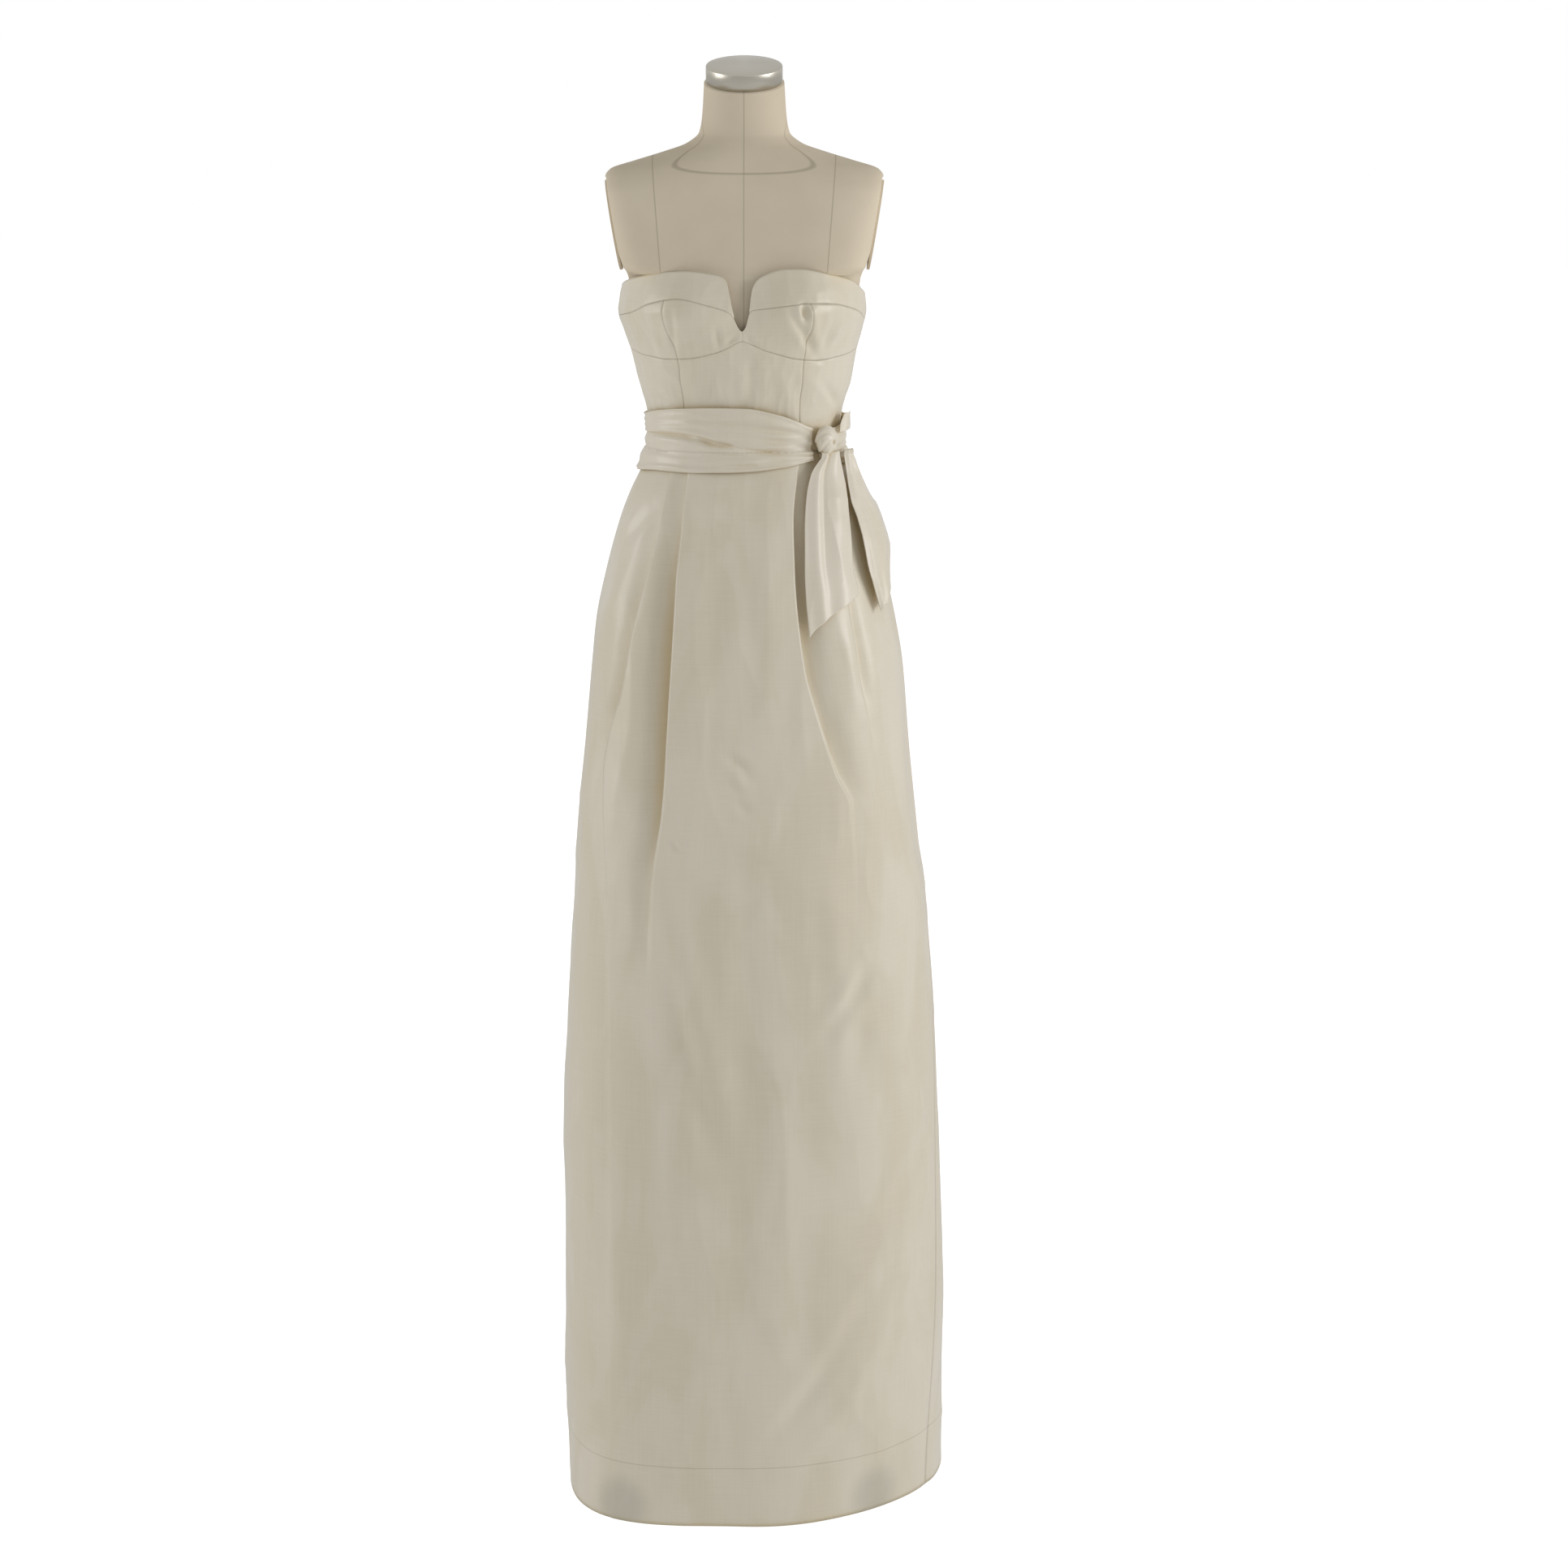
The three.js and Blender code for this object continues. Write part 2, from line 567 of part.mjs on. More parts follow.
// ---------------------------------------------------------------- sash
/** One wrap of the sash, from the knot round the back and the -X side to the knot again. */
function sashWrap(name, upperEdge, lowerEdge, ridges) {
  const columns = 46;
  const grid = ridges.map((ridge, i) => Array.from({ length: columns + 1 }, (_, s) => {
    const along = mix(SASH_START, SASH_END, s / columns);
    const turn = wrapTurn(along);
    const t = i / (ridges.length - 1);
    const top = SASH.at(upperEdge, turn) - (upperEdge === 'split' ? SEAM_GAP / 2 : 0);
    const bottom = SASH.at(lowerEdge, turn) + (lowerEdge === 'split' ? SEAM_GAP / 2 : 0);
    const z = mix(top, bottom, t);
    const calm = Math.min(1, (top - bottom) / 24);
    return placeAt(turn, waistRadius(turn, z) + 1.2 + SASH_WALL + ridge * calm, z);
  }));
  return clothWall(name, grid, SASH_WALL, TAFFETA_SASH);
}

/** A hanging or standing end of the sash, laid on what is under it and moved out by its lift. */
function sashEnd(name, spec) {
  const { shape, top, ends, folds, rows } = spec;
  const grid = [];
  for (let i = 0; i <= rows; i += 1) {
    const row = folds.map((fold, j) => {
      const u = j / (folds.length - 1);
      const z = mix(top, mix(ends.left, ends.right, u), i / rows);
      const lift = shape.at('lift', z);
      const turn = turnAtX(mix(shape.at('left', z), shape.at('right', z), u), z, lift + SASH_WALL);
      const base = Math.max(waistRadius(turn, z), z < WAIST_SEAM_Z ? skirtRadius(turn, z) : 0);
      const out = lift + fold + SASH_WALL + 0.8;
      return placeAt(turn, base + out, z);
    });
    grid.push(row);
  }
  return clothWall(name, grid, SASH_WALL, TAFFETA_SASH);
}

function sashKnot() {
  const geometry = new THREE.SphereGeometry(0.5, 18, 12);
  geometry.scale(KNOT.width, KNOT.depth, KNOT.height);
  const position = geometry.getAttribute('position');
  for (let k = 0; k < position.count; k += 1) {
    const turnRound = Math.atan2(position.getZ(k), position.getX(k));
    const swell = 1 + 0.09 * Math.cos(3 * turnRound + 0.6);
    position.setXYZ(k, position.getX(k) * swell, position.getY(k) * swell, position.getZ(k) * swell);
  }
  const mesh = new THREE.Mesh(geometry, new THREE.MeshStandardMaterial(TAFFETA_SASH));
  mesh.name = 'sash_knot';
  const radius = bodiceRadius(KNOT.turn, KNOT.z) + KNOT.clear + KNOT.depth / 2;
  mesh.position.copy(placeAt(KNOT.turn, radius, KNOT.z));
  mesh.rotation.z = KNOT.turn * DEG;
  return mesh;
}

function sash() {
  return [
    sashWrap('sash_upper_wrap', 'top', 'split', UPPER_RIDGES),
    sashWrap('sash_lower_wrap', 'split', 'bottom', LOWER_RIDGES),
    sashKnot(),
    sashEnd('sash_tail_front', {
      shape: TAIL_FRONT, top: TAIL_FRONT_TOP, ends: TAIL_FRONT_END,
      folds: [0, 3.4, 1.0, 4.2, 4.6, 3.4, 0.6], rows: 9,
    }),
    sashEnd('sash_tail_side', {
      shape: TAIL_SIDE, top: TAIL_SIDE_TOP, ends: TAIL_SIDE_END,
      folds: [0, 3.0, 1.2, 4.0, 0.8], rows: 9,
    }),
    sashEnd('sash_ear', {
      shape: EAR, top: 1294, ends: { left: 1272, right: 1274 },
      folds: [0, 2.4, 0.4], rows: 3,
    }),
  ];
}

// ---------------------------------------------------------------- dress form
const FORM_COLUMNS = 40;
const FORM_ROWS = [NECK_TOP_Z, 1648, 1630, 1616, 1606, 1599, 1592, 1584, 1577, 1571, 1565, 1556, 1540,
  1520, 1495, 1470, 1450, 1432, 1415, 1397, 1380, 1361, 1340, 1318, 1300, 1280, 1252, 1230, 1200, 1160,
  1120, 1070, 1010, 950, 895, FORM_BOTTOM_Z];

/** How far out the flat under an arm plate lies at this height: it leans in towards the waist. */
function armPlane(z) {
  return mix(157, 141.5, (1555 - z) / 95);
}

function formTorso() {
  const rings = FORM_ROWS.map((z) => Array.from({ length: FORM_COLUMNS }, (_, j) => {
    const turn = -180 + (360 * j) / FORM_COLUMNS;
    const point = placeAt(turn, formRadius(turn, z), z);
    const flat = z > 1450 && z < 1562 ? armPlane(z) : Infinity;
    point.x = Math.sign(point.x) * Math.min(Math.abs(point.x), flat);
    const tilt = Math.min(1, Math.max(0, (z - 1600) / (NECK_TOP_Z - 1600)));
    point.z += tilt * point.y * Math.tan(NECK_TILT * DEG);
    return point;
  }));
  return loftedSolid('form_torso', rings, LINEN);
}

function neckCap() {
  const profile = [
    new THREE.Vector2(0, 0),
    new THREE.Vector2(CAP_RADIUS - 1, 0),
    new THREE.Vector2(CAP_RADIUS, 1),
    new THREE.Vector2(CAP_RADIUS, CAP_RIM - 2),
    new THREE.Vector2(CAP_RADIUS - 2, CAP_RIM),
    new THREE.Vector2(CAP_RADIUS * 0.6, CAP_RIM + CAP_DOME * 0.7),
    new THREE.Vector2(0, CAP_RIM + CAP_DOME),
  ];
  const geometry = new THREE.LatheGeometry(profile, 40);
  geometry.rotateX(90 * DEG);
  const mesh = new THREE.Mesh(geometry, new THREE.MeshStandardMaterial(BRUSHED_STEEL));
  mesh.name = 'neck_cap';
  const lean = NECK_TILT * DEG;
  mesh.rotation.x = lean;
  mesh.position.set(0, -SEAM_GAP * Math.sin(lean), NECK_TOP_Z + SEAM_GAP * Math.cos(lean));
  return mesh;
}

function armPlate(name, side) {
  const outline = new THREE.Shape();
  outline.absellipse(0, 0, ARM_PLATE_DEPTH / 2, ARM_PLATE_HEIGHT / 2, 0, 2 * Math.PI, false, 0);
  const geometry = new THREE.ExtrudeGeometry(outline, {
    depth: ARM_PLATE_THICK, bevelEnabled: false, curveSegments: 14,
  });
  geometry.rotateX(90 * DEG);
  geometry.rotateZ(90 * DEG);
  const mesh = new THREE.Mesh(geometry, new THREE.MeshStandardMaterial(LINEN));
  mesh.name = name;
  const lean = Math.atan2(armPlane(1555) - armPlane(1460), 95);
  const group = new THREE.Group();
  group.position.set(side * (armPlane(ARM_PLATE_Z) + SEAM_GAP), 4, ARM_PLATE_Z);
  group.rotation.y = side * lean;
  if (side < 0) mesh.rotation.z = 180 * DEG;
  group.add(mesh);
  return group;
}

function stand() {
  const steel = new THREE.MeshStandardMaterial(PAINTED_STEEL);
  const upright = (name, radius, bottom, top, material, sides = 24) => {
    const mesh = new THREE.Mesh(new THREE.CylinderGeometry(radius, radius, top - bottom, sides), material);
    mesh.name = name;
    mesh.rotation.x = 90 * DEG;
    mesh.position.z = (top + bottom) / 2;
    return mesh;
  };
  const pieces = [
    upright('stand_pole', POLE_RADIUS, HUB_TOP_Z + SEAM_GAP, FORM_BOTTOM_Z - SEAM_GAP, steel),
    upright('stand_hub', HUB_RADIUS, HUB_BOTTOM_Z, HUB_TOP_Z, steel.clone(), 32),
  ];
  const seat = FOOT_HEIGHT + SEAM_GAP;
  const profile = new THREE.Shape([
    new THREE.Vector2(HUB_RADIUS + SEAM_GAP, HUB_TOP_Z - 3),
    new THREE.Vector2(HUB_RADIUS + SEAM_GAP, HUB_TOP_Z - 3 - LEG_THICK - 6),
    new THREE.Vector2(FOOT_CIRCLE - FOOT_RADIUS, seat),
    new THREE.Vector2(FOOT_CIRCLE + FOOT_RADIUS - 2, seat),
    new THREE.Vector2(FOOT_CIRCLE + FOOT_RADIUS - 2, seat + LEG_THICK * 0.6),
    new THREE.Vector2(FOOT_CIRCLE, seat + LEG_THICK),
  ]);
  for (let k = 0; k < 4; k += 1) {
    const spoke = new THREE.Group();
    spoke.rotation.z = (45 + 90 * k) * DEG;
    const geometry = new THREE.ExtrudeGeometry(profile, { depth: LEG_WIDTH, bevelEnabled: false });
    geometry.rotateX(90 * DEG);
    geometry.translate(0, LEG_WIDTH / 2, 0);
    const leg = new THREE.Mesh(geometry, steel.clone());
    leg.name = `stand_leg_${k + 1}`;
    const foot = upright(`stand_foot_${k + 1}`, FOOT_RADIUS, 0, FOOT_HEIGHT,
      new THREE.MeshStandardMaterial(RUBBER), 20);
    foot.position.x = FOOT_CIRCLE;
    spoke.add(leg, foot);
    pieces.push(spoke);
  }
  return pieces;
}

// ---------------------------------------------------------------- the whole
// The frame's origin is the middle of the outside box, and the hem reaches further to +X.
const FRAME_SHIFT_X = -(SKIRT.at('right', 200) - SKIRT.at('left', 200)) / 2;

const gownOnForm = new THREE.Group();
gownOnForm.add(...bodice(), ...skirt(), ...sash());
gownOnForm.add(formTorso(), neckCap(), armPlate('arm_plate_left', -1), armPlate('arm_plate_right', 1));
gownOnForm.add(...stand());
gownOnForm.position.x = FRAME_SHIFT_X;

const weddingDress = new THREE.Group();
weddingDress.add(gownOnForm);

export default weddingDress;
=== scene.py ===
"""A strapless silk taffeta wedding gown on a limbless dress form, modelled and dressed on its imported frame.

Lengths in the shape tables are millimetres and turns are degrees round the form: 0 at the centre
front, positive towards +X.  Everything given to Blender is in metres.
"""
import logging
import math
from dataclasses import dataclass, field
from enum import Enum
from typing import Optional, Sequence

import bpy
import numpy as np
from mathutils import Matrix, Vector


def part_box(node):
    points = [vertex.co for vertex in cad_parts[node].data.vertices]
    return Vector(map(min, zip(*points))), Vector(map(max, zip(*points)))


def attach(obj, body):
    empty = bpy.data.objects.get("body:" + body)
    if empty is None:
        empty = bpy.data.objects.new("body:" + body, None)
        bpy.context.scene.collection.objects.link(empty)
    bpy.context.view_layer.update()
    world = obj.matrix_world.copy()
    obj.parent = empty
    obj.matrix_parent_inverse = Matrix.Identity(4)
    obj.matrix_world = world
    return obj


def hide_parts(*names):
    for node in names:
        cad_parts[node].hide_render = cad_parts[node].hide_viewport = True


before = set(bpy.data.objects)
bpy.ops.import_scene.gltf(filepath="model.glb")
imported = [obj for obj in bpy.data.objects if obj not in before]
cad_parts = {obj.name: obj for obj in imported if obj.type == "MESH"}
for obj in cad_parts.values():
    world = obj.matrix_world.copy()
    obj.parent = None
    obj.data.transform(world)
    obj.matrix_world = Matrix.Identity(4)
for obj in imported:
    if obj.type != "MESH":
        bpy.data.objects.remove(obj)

log = logging.getLogger("gown")
MM = 0.001
DEG = math.pi / 180
AXIS_X = -10.25                    # the form's pole, in the frame
WAIST_Z = 1252.0
HEM_Z = 4.0
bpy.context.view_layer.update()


# ------------------------------------------------------------------ tables and shapes
class Table:
    """A table with named columns, read by its first column with a smooth curve that never overshoots."""

    def __init__(self, columns: str, rows: Sequence[Sequence[float]]) -> None:
        """Sorts the rows and works out a slope for each value.

        Args:
            columns: the columns' names, with the key's name first.
            rows: one row for each section.
        """
        data = np.array(sorted(rows), float)
        self.keys = data[:, 0]
        self.curves = {}
        for k, name in enumerate(columns.split()[1:]):
            values = data[:, k + 1]
            secants = np.diff(values) / np.diff(self.keys)
            slopes = np.empty_like(values)
            slopes[0], slopes[-1] = secants[0], secants[-1]
            before, after = secants[:-1], secants[1:]
            same = before * after > 0
            total = np.where(same, before + after, 1.0)
            slopes[1:-1] = np.where(same, 2 * before * after / total, 0.0)
            self.curves[name] = (values, slopes)

    def at(self, name: str, key: np.ndarray) -> np.ndarray:
        """Reads a column.

        Args:
            name: the column.
            key: where to read it, one number or many.

        Returns:
            The column's values there.
        """
        values, slopes = self.curves[name]
        key = np.clip(np.asarray(key, float), self.keys[0], self.keys[-1])
        i = np.clip(np.searchsorted(self.keys, key, side="right") - 1, 0, len(self.keys) - 2)
        span = self.keys[i + 1] - self.keys[i]
        t = (key - self.keys[i]) / span
        start = values[i] * (1 + 2 * t) * (1 - t) ** 2 + slopes[i] * span * t * (1 - t) ** 2
        return start + values[i + 1] * t * t * (3 - 2 * t) - slopes[i + 1] * span * t * t * (1 - t)


FORM = Table("z side front back square", [
    [842, 148, 112, 122, 2.1], [900, 153, 114, 128, 2.1], [980, 158, 112, 130, 2.1],
    [1060, 156, 108, 126, 2.1], [1130, 143, 98, 112, 2.05], [1190, 123, 87, 94, 2.0],
    [1230, 112, 81.5, 83.5, 2.0], [1252, 109.5, 80.5, 80.5, 2.0], [1285, 110, 81, 80, 2.0],
    [1300, 112.5, 83, 81, 2.0], [1330, 119, 87, 85, 2.05], [1361, 123, 91, 90, 2.1],
    [1390, 127.5, 93, 96, 2.2], [1420, 131, 93, 100, 2.3], [1446, 134, 91, 101, 2.4],
    [1462, 140, 89, 101, 2.45], [1480, 145.5, 86, 100, 2.5], [1520, 155, 79, 95, 2.6],
    [1550, 161, 72, 86, 2.5], [1563, 160, 68, 80, 2.4], [1571, 154, 65, 76, 2.3],
    [1580, 127, 62, 71, 2.2], [1590, 94, 58, 66, 2.1], [1600, 66, 53, 61, 2.0],
    [1612, 52, 48, 56, 2.0], [1630, 48.5, 45.5, 51, 2.0], [1668, 46, 45, 46, 2.0],
])
BODICE = Table("z left right front back square", [
    [1252, 112, 112, 83, 83, 2.0], [1285, 112.5, 112.5, 83.5, 82.5, 2.0],
    [1300, 115.5, 115, 85.5, 83.5, 2.0], [1330, 124.5, 124.5, 91, 88, 2.05],
    [1361, 131.5, 129.5, 97, 95, 2.1], [1390, 141, 137, 101, 101, 2.2],
    [1410, 146.5, 141, 101, 104.5, 2.3], [1430, 144, 139.5, 99, 106, 2.35],
    [1446, 141.5, 137, 97, 107, 2.4], [1465, 141, 137, 94, 107, 2.4],
])
SKIRT = Table("z left right front back squareLeft squareRight", [
    [4, 217.5, 241, 228, 228, 3.3, 2.0], [60, 218.5, 240, 227, 227, 3.2, 2.05],
    [200, 221, 241.5, 221, 222, 2.9, 2.2], [400, 221, 234.5, 210, 212, 2.7, 2.3],
    [600, 212, 225.5, 197, 200, 2.5, 2.35], [800, 201, 204.5, 179, 186, 2.4, 2.35],
    [900, 191, 194, 168, 177, 2.35, 2.3], [1000, 181.5, 185.5, 155, 166, 2.3, 2.25],
    [1050, 176, 177, 147, 158, 2.25, 2.2], [1110, 163, 163.5, 133, 143, 2.15, 2.15],
    [1170, 146, 146.5, 113, 121, 2.1, 2.1], [1200, 134.5, 135, 101, 107, 2.05, 2.05],
    [1230, 120, 120, 88.5, 91, 2.0, 2.0], [1252, 112, 112, 83, 83, 2.0, 2.0],
])
SIDE_SEAMS = Table("z left right", [
    [4, -100, 65], [60, -100, 66], [514, -96, 76], [900, -92, 86], [1252, -90, 90],
])
PLEATS = {
    "outer_left": Table("z x step hollow", [
        [1252, -82, 1.5, 0], [1152, -102, 5, 2], [1061, -124, 6, 5], [976, -141, 6, 6],
        [945, -152, 5, 5], [881, -163, 4, 3], [746, -161, 3, 1], [600, -159, 2, 0],
        [300, -159, 1, 0], [4, -157, 0.5, 0]]),
    "inner_left": Table("z x step hollow", [
        [1252, -62, 1.5, 0], [1177, -70, 4, 2], [1102, -77, 7, 8], [980, -85, 8, 15],
        [850, -95, 6, 13], [757, -109, 3, 4], [640, -112, 0.5, 0], [4, -112, 0, 0]]),
    "inner_right": Table("z x step hollow", [
        [1252, 63, 1.5, 0], [1178, 56, 4, 4], [1125, 57.5, 6, 8], [1057, 63, 7, 9],
        [1010, 70, 5, 7], [960, 84, 4, 5], [892, 106, 2.5, 3], [850, 124, 1, 1],
        [700, 130, 0, 0], [4, 120, 0, 0]]),
    "outer_right": Table("z x step hollow", [
        [1252, 84, 1.5, 0], [1152, 104, 3, 1], [1075, 121, 4, 2], [975, 137, 3, 2],
        [880, 152, 1, 0], [700, 165, 0, 0], [4, 160, 0, 0]]),
}
BACK_PLEATS = ((26.0, 4.0, 5.0), (52.0, 3.0, 3.0))      # turn from the centre back, step, hollow
CROSS_SEAMS = Table("turn neckline band bust", [
    [-180, 1416, 1385, 1372], [-120, 1427, 1394, 1371], [-88, 1438, 1403, 1368],
    [-65, 1450, 1410, 1361], [-50, 1456, 1422, 1358], [-35, 1458.5, 1428, 1359.5],
    [-19, 1455, 1420, 1366], [-14.6, 1453, 1417, 1369], [-11, 1448, 1414.5, 1372],
    [-8.7, 1434, 1412, 1374], [-5.8, 1409, 1405, 1377], [-3.5, 1396.5, 1396, 1379],
    [-1.3, 1392, 1391.5, 1380], [1.1, 1396.5, 1396, 1379], [3.4, 1416, 1412, 1377.5],
    [5, 1437, 1415, 1376], [7.8, 1447.5, 1416, 1374], [12.3, 1453.5, 1417, 1370],
    [25.6, 1461, 1421, 1362.5], [33, 1461, 1423, 1359], [48, 1455.5, 1421.5, 1356.5],
    [63, 1448, 1415, 1360], [88, 1427, 1397, 1368], [120, 1420, 1390, 1371],
    [180, 1416, 1385, 1372],
])
SASH = Table("turn top split bottom", [
    [-180, 1296, 1262, 1228], [-120, 1293, 1266, 1226], [-90, 1291, 1269, 1225.5],
    [-62, 1298, 1271, 1229], [-40, 1302, 1270, 1228.5], [-21, 1303.5, 1264, 1229.4],
    [0, 1303, 1256, 1230.5], [25, 1295, 1250, 1234], [40, 1286, 1247, 1238],
    [50, 1279, 1246, 1241], [66, 1277, 1249, 1238], [90, 1287, 1253, 1231],
    [120, 1292, 1258, 1229], [180, 1296, 1262, 1228],
])
LEVEL_NECKLINE = 1440.0
LEVEL_BAND = 1415.0
LEVEL_BUST = 1360.0


class Line(Enum):
    """The bodice's upright lines in order: turn at the neckline, at the bust seam and at the waist."""

    BACK_LEFT = (-180, -180, -180)
    SIDE_LEFT = (-88, -88, -88)
    PRINCESS_LEFT = (-41, -43, -47)
    CORNER_LEFT = (-14.6, -14.6, -14.6)
    NOTCH_LEFT = (-5.8, -5.8, -5.8)
    CENTRE = (-1.3, -1.3, -1.3)
    NOTCH_RIGHT = (3.4, 3.4, 3.4)
    CORNER_RIGHT = (12.3, 12.3, 12.3)
    PRINCESS_RIGHT = (32, 39, 44)
    SIDE_RIGHT = (88, 88, 88)
    BACK_RIGHT = (180, 180, 180)


class CrossSeam(Enum):
    """The bodice's seams that run across it, named as in their table."""

    NECKLINE = "neckline"
    BAND = "band"
    BUST = "bust"
    WAIST = "waist"


class SashEdge(Enum):
    """The edges of the two wraps, named as in their table."""

    TOP = "top"
    SPLIT = "split"
    BOTTOM = "bottom"


def bell(distance: np.ndarray, width: float) -> np.ndarray:
    """A smooth rise of 1 at no distance, fading over the width."""
    return np.exp(-((distance / width) ** 2))


def outline_radius(turn: np.ndarray, side: np.ndarray, depth: np.ndarray, square: np.ndarray) -> np.ndarray:
    """Distance from the axis to a rounded-square outline.

    Args:
        turn: where on the outline, in degrees.
        side: its reach to the side.
        depth: its reach to the front or back.
        square: 2 for an ellipse, more for a squarer outline.

    Returns:
        The distances.
    """
    across = np.abs(np.sin(turn * DEG)) / side
    along = np.abs(np.cos(turn * DEG)) / depth
    return (across ** square + along ** square) ** (-1 / square)


def cup_rise(turn: np.ndarray, z: np.ndarray) -> np.ndarray:
    """How far the two bust cups stand out at each place."""
    height = np.where(z > 1414, 46.0, 34.0)
    return sum(21 * bell(turn - cup, 25) * np.exp(-(((z - 1414) / height) ** 2)) for cup in (-33, 33))


def form_radius(turn: np.ndarray, z: np.ndarray) -> np.ndarray:
    """The dress form's outside."""
    depth = np.where(np.abs(turn) <= 90, FORM.at("front", z), FORM.at("back", z))
    return outline_radius(turn, FORM.at("side", z), depth, FORM.at("square", z)) + 0.9 * cup_rise(turn, z)


def bodice_radius(turn: np.ndarray, z: np.ndarray) -> np.ndarray:
    """The bodice's outside, without its creases.

    Args:
        turn: where round the form.
        z: heights.

    Returns:
        Distances from the axis.
    """
    side = np.where(turn < 0, BODICE.at("left", z), BODICE.at("right", z))
    depth = np.where(np.abs(turn) <= 90, BODICE.at("front", z), BODICE.at("back", z))
    return outline_radius(turn, side, depth, BODICE.at("square", z)) + cup_rise(turn, z)


def plain_skirt_radius(turn: np.ndarray, z: np.ndarray) -> np.ndarray:
    """The skirt's outside, without its pleats and creases.

    Args:
        turn: where round the form.
        z: heights.

    Returns:
        Distances from the axis.
    """
    side = np.where(turn < 0, SKIRT.at("left", z), SKIRT.at("right", z))
    depth = np.where(np.abs(turn) <= 90, SKIRT.at("front", z), SKIRT.at("back", z))
    square = np.where(turn < 0, SKIRT.at("squareLeft", z), SKIRT.at("squareRight", z))
    return outline_radius(turn, side, depth, square)


def turn_at_x(x: np.ndarray, z: np.ndarray, lift: np.ndarray = 0.0) -> np.ndarray:
    """The turn at which the plain skirt, moved out, has this x as seen from the front.

    Args:
        x: distance to the right of the form's axis.
        z: height.
        lift: how far out from the skirt.

    Returns:
        The turns, from -90 to 90.
    """
    x, z = np.broadcast_arrays(np.asarray(x, float), np.asarray(z, float))
    low, high = np.full(x.shape, -90.0), np.full(x.shape, 90.0)
    for _ in range(26):
        middle = (low + high) / 2
        short = (plain_skirt_radius(middle, z) + lift) * np.sin(middle * DEG) < x
        low, high = np.where(short, middle, low), np.where(short, high, middle)
    return (low + high) / 2


def pleat_relief(outward: np.ndarray, step: np.ndarray, hollow: np.ndarray) -> np.ndarray:
    """How far a pleat lifts or sinks the cloth.

    Args:
        outward: distance from the pleat's fold edge, away from the centre front.
        step: how far the fold edge stands over the cloth beside it.
        hollow: depth of the trough beside the fold edge.

    Returns:
        Millimetres outwards.
    """
    inside = 0.55 * step * bell(outward, 42)
    outside = -0.45 * step * bell(outward, 34) - hollow * bell(outward - 6, 15)
    ramp = np.clip((outward + 0.9) / 1.8, 0, 1)
    return inside * (1 - ramp) + outside * ramp


def place(turn: np.ndarray, radius: np.ndarray, z: np.ndarray) -> np.ndarray:
    """Places points round the form's axis.

    Args:
        turn: where round the form.
        radius: distances from its axis.
        z: heights.

    Returns:
        Points in metres, in the frame.
    """
    x = AXIS_X + radius * np.sin(turn * DEG)
    y = -radius * np.cos(turn * DEG)
    return np.stack(np.broadcast_arrays(x, y, z), axis=-1) * MM


# ------------------------------------------------------------------ creases
class Wrinkles:
    """Seeded crumple of crisp silk: thin ridges where facets meet."""

    cells = 64

    def __init__(self, seed: int) -> None:
        """Fills the lattice that the facets hang on."""
        self.lattice = np.random.default_rng(seed).random((self.cells, self.cells))

    def wave(self, s: np.ndarray, t: np.ndarray) -> np.ndarray:
        """Smooth noise on a lattice of unit cells.

        Args:
            s: first coordinate, in cells.
            t: second coordinate, in cells.

        Returns:
            Values from -1 to 1.
        """
        i, j = np.floor(s).astype(int), np.floor(t).astype(int)
        u, v = s - i, t - j
        u, v = u * u * (3 - 2 * u), v * v * (3 - 2 * v)
        rows = []
        for b in (0, 1):
            left = self.lattice[i % self.cells, (j + b) % self.cells]
            right = self.lattice[(i + 1) % self.cells, (j + b) % self.cells]
            rows.append(left * (1 - u) + right * u)
        return 2 * (rows[0] * (1 - v) + rows[1] * v) - 1

    def crumple(self, s: np.ndarray, t: np.ndarray, across: float, down: float) -> np.ndarray:
        """Facets about so wide and so long, in millimetres, from -1 to 1."""
        lean = 0.25 * s + t
        return 1 - 2.6 * np.abs(self.wave(s / across + 3.1, lean / down)) ** 0.8


@dataclass(frozen=True)
class Crease:
    """A soft fold along a path of (across, z) points.  A negative depth stands out."""

    path: tuple
    depth: float
    width: float

    def relief(self, across: np.ndarray, z: np.ndarray) -> np.ndarray:
        """How far the crease moves the cloth out at each place.

        Args:
            across: millimetres to the right, in the path's own measure.
            z: heights.

        Returns:
            Millimetres outwards.
        """
        best = np.full(across.shape, 1e9)
        strength = np.zeros(across.shape)
        points = np.array(self.path, float)
        total = len(points) - 1
        fade = 0.08                # a crease keeps a little of its depth at its ends
        for k in range(total):
            a, b = points[k], points[k + 1]
            d = b - a
            t = np.clip(((across - a[0]) * d[0] + (z - a[1]) * d[1]) / (d @ d), 0, 1)
            far = np.hypot(across - a[0] - t * d[0], z - a[1] - t * d[1])
            nearer = far < best
            best = np.where(nearer, far, best)
            way = fade + (1 - 2 * fade) * (k + t) / total
            strength = np.where(nearer, np.sin(math.pi * way), strength)
        lips = 0.35 * bell(best - 1.7 * self.width, self.width)
        return -self.depth * strength * (bell(best, self.width) - lips)


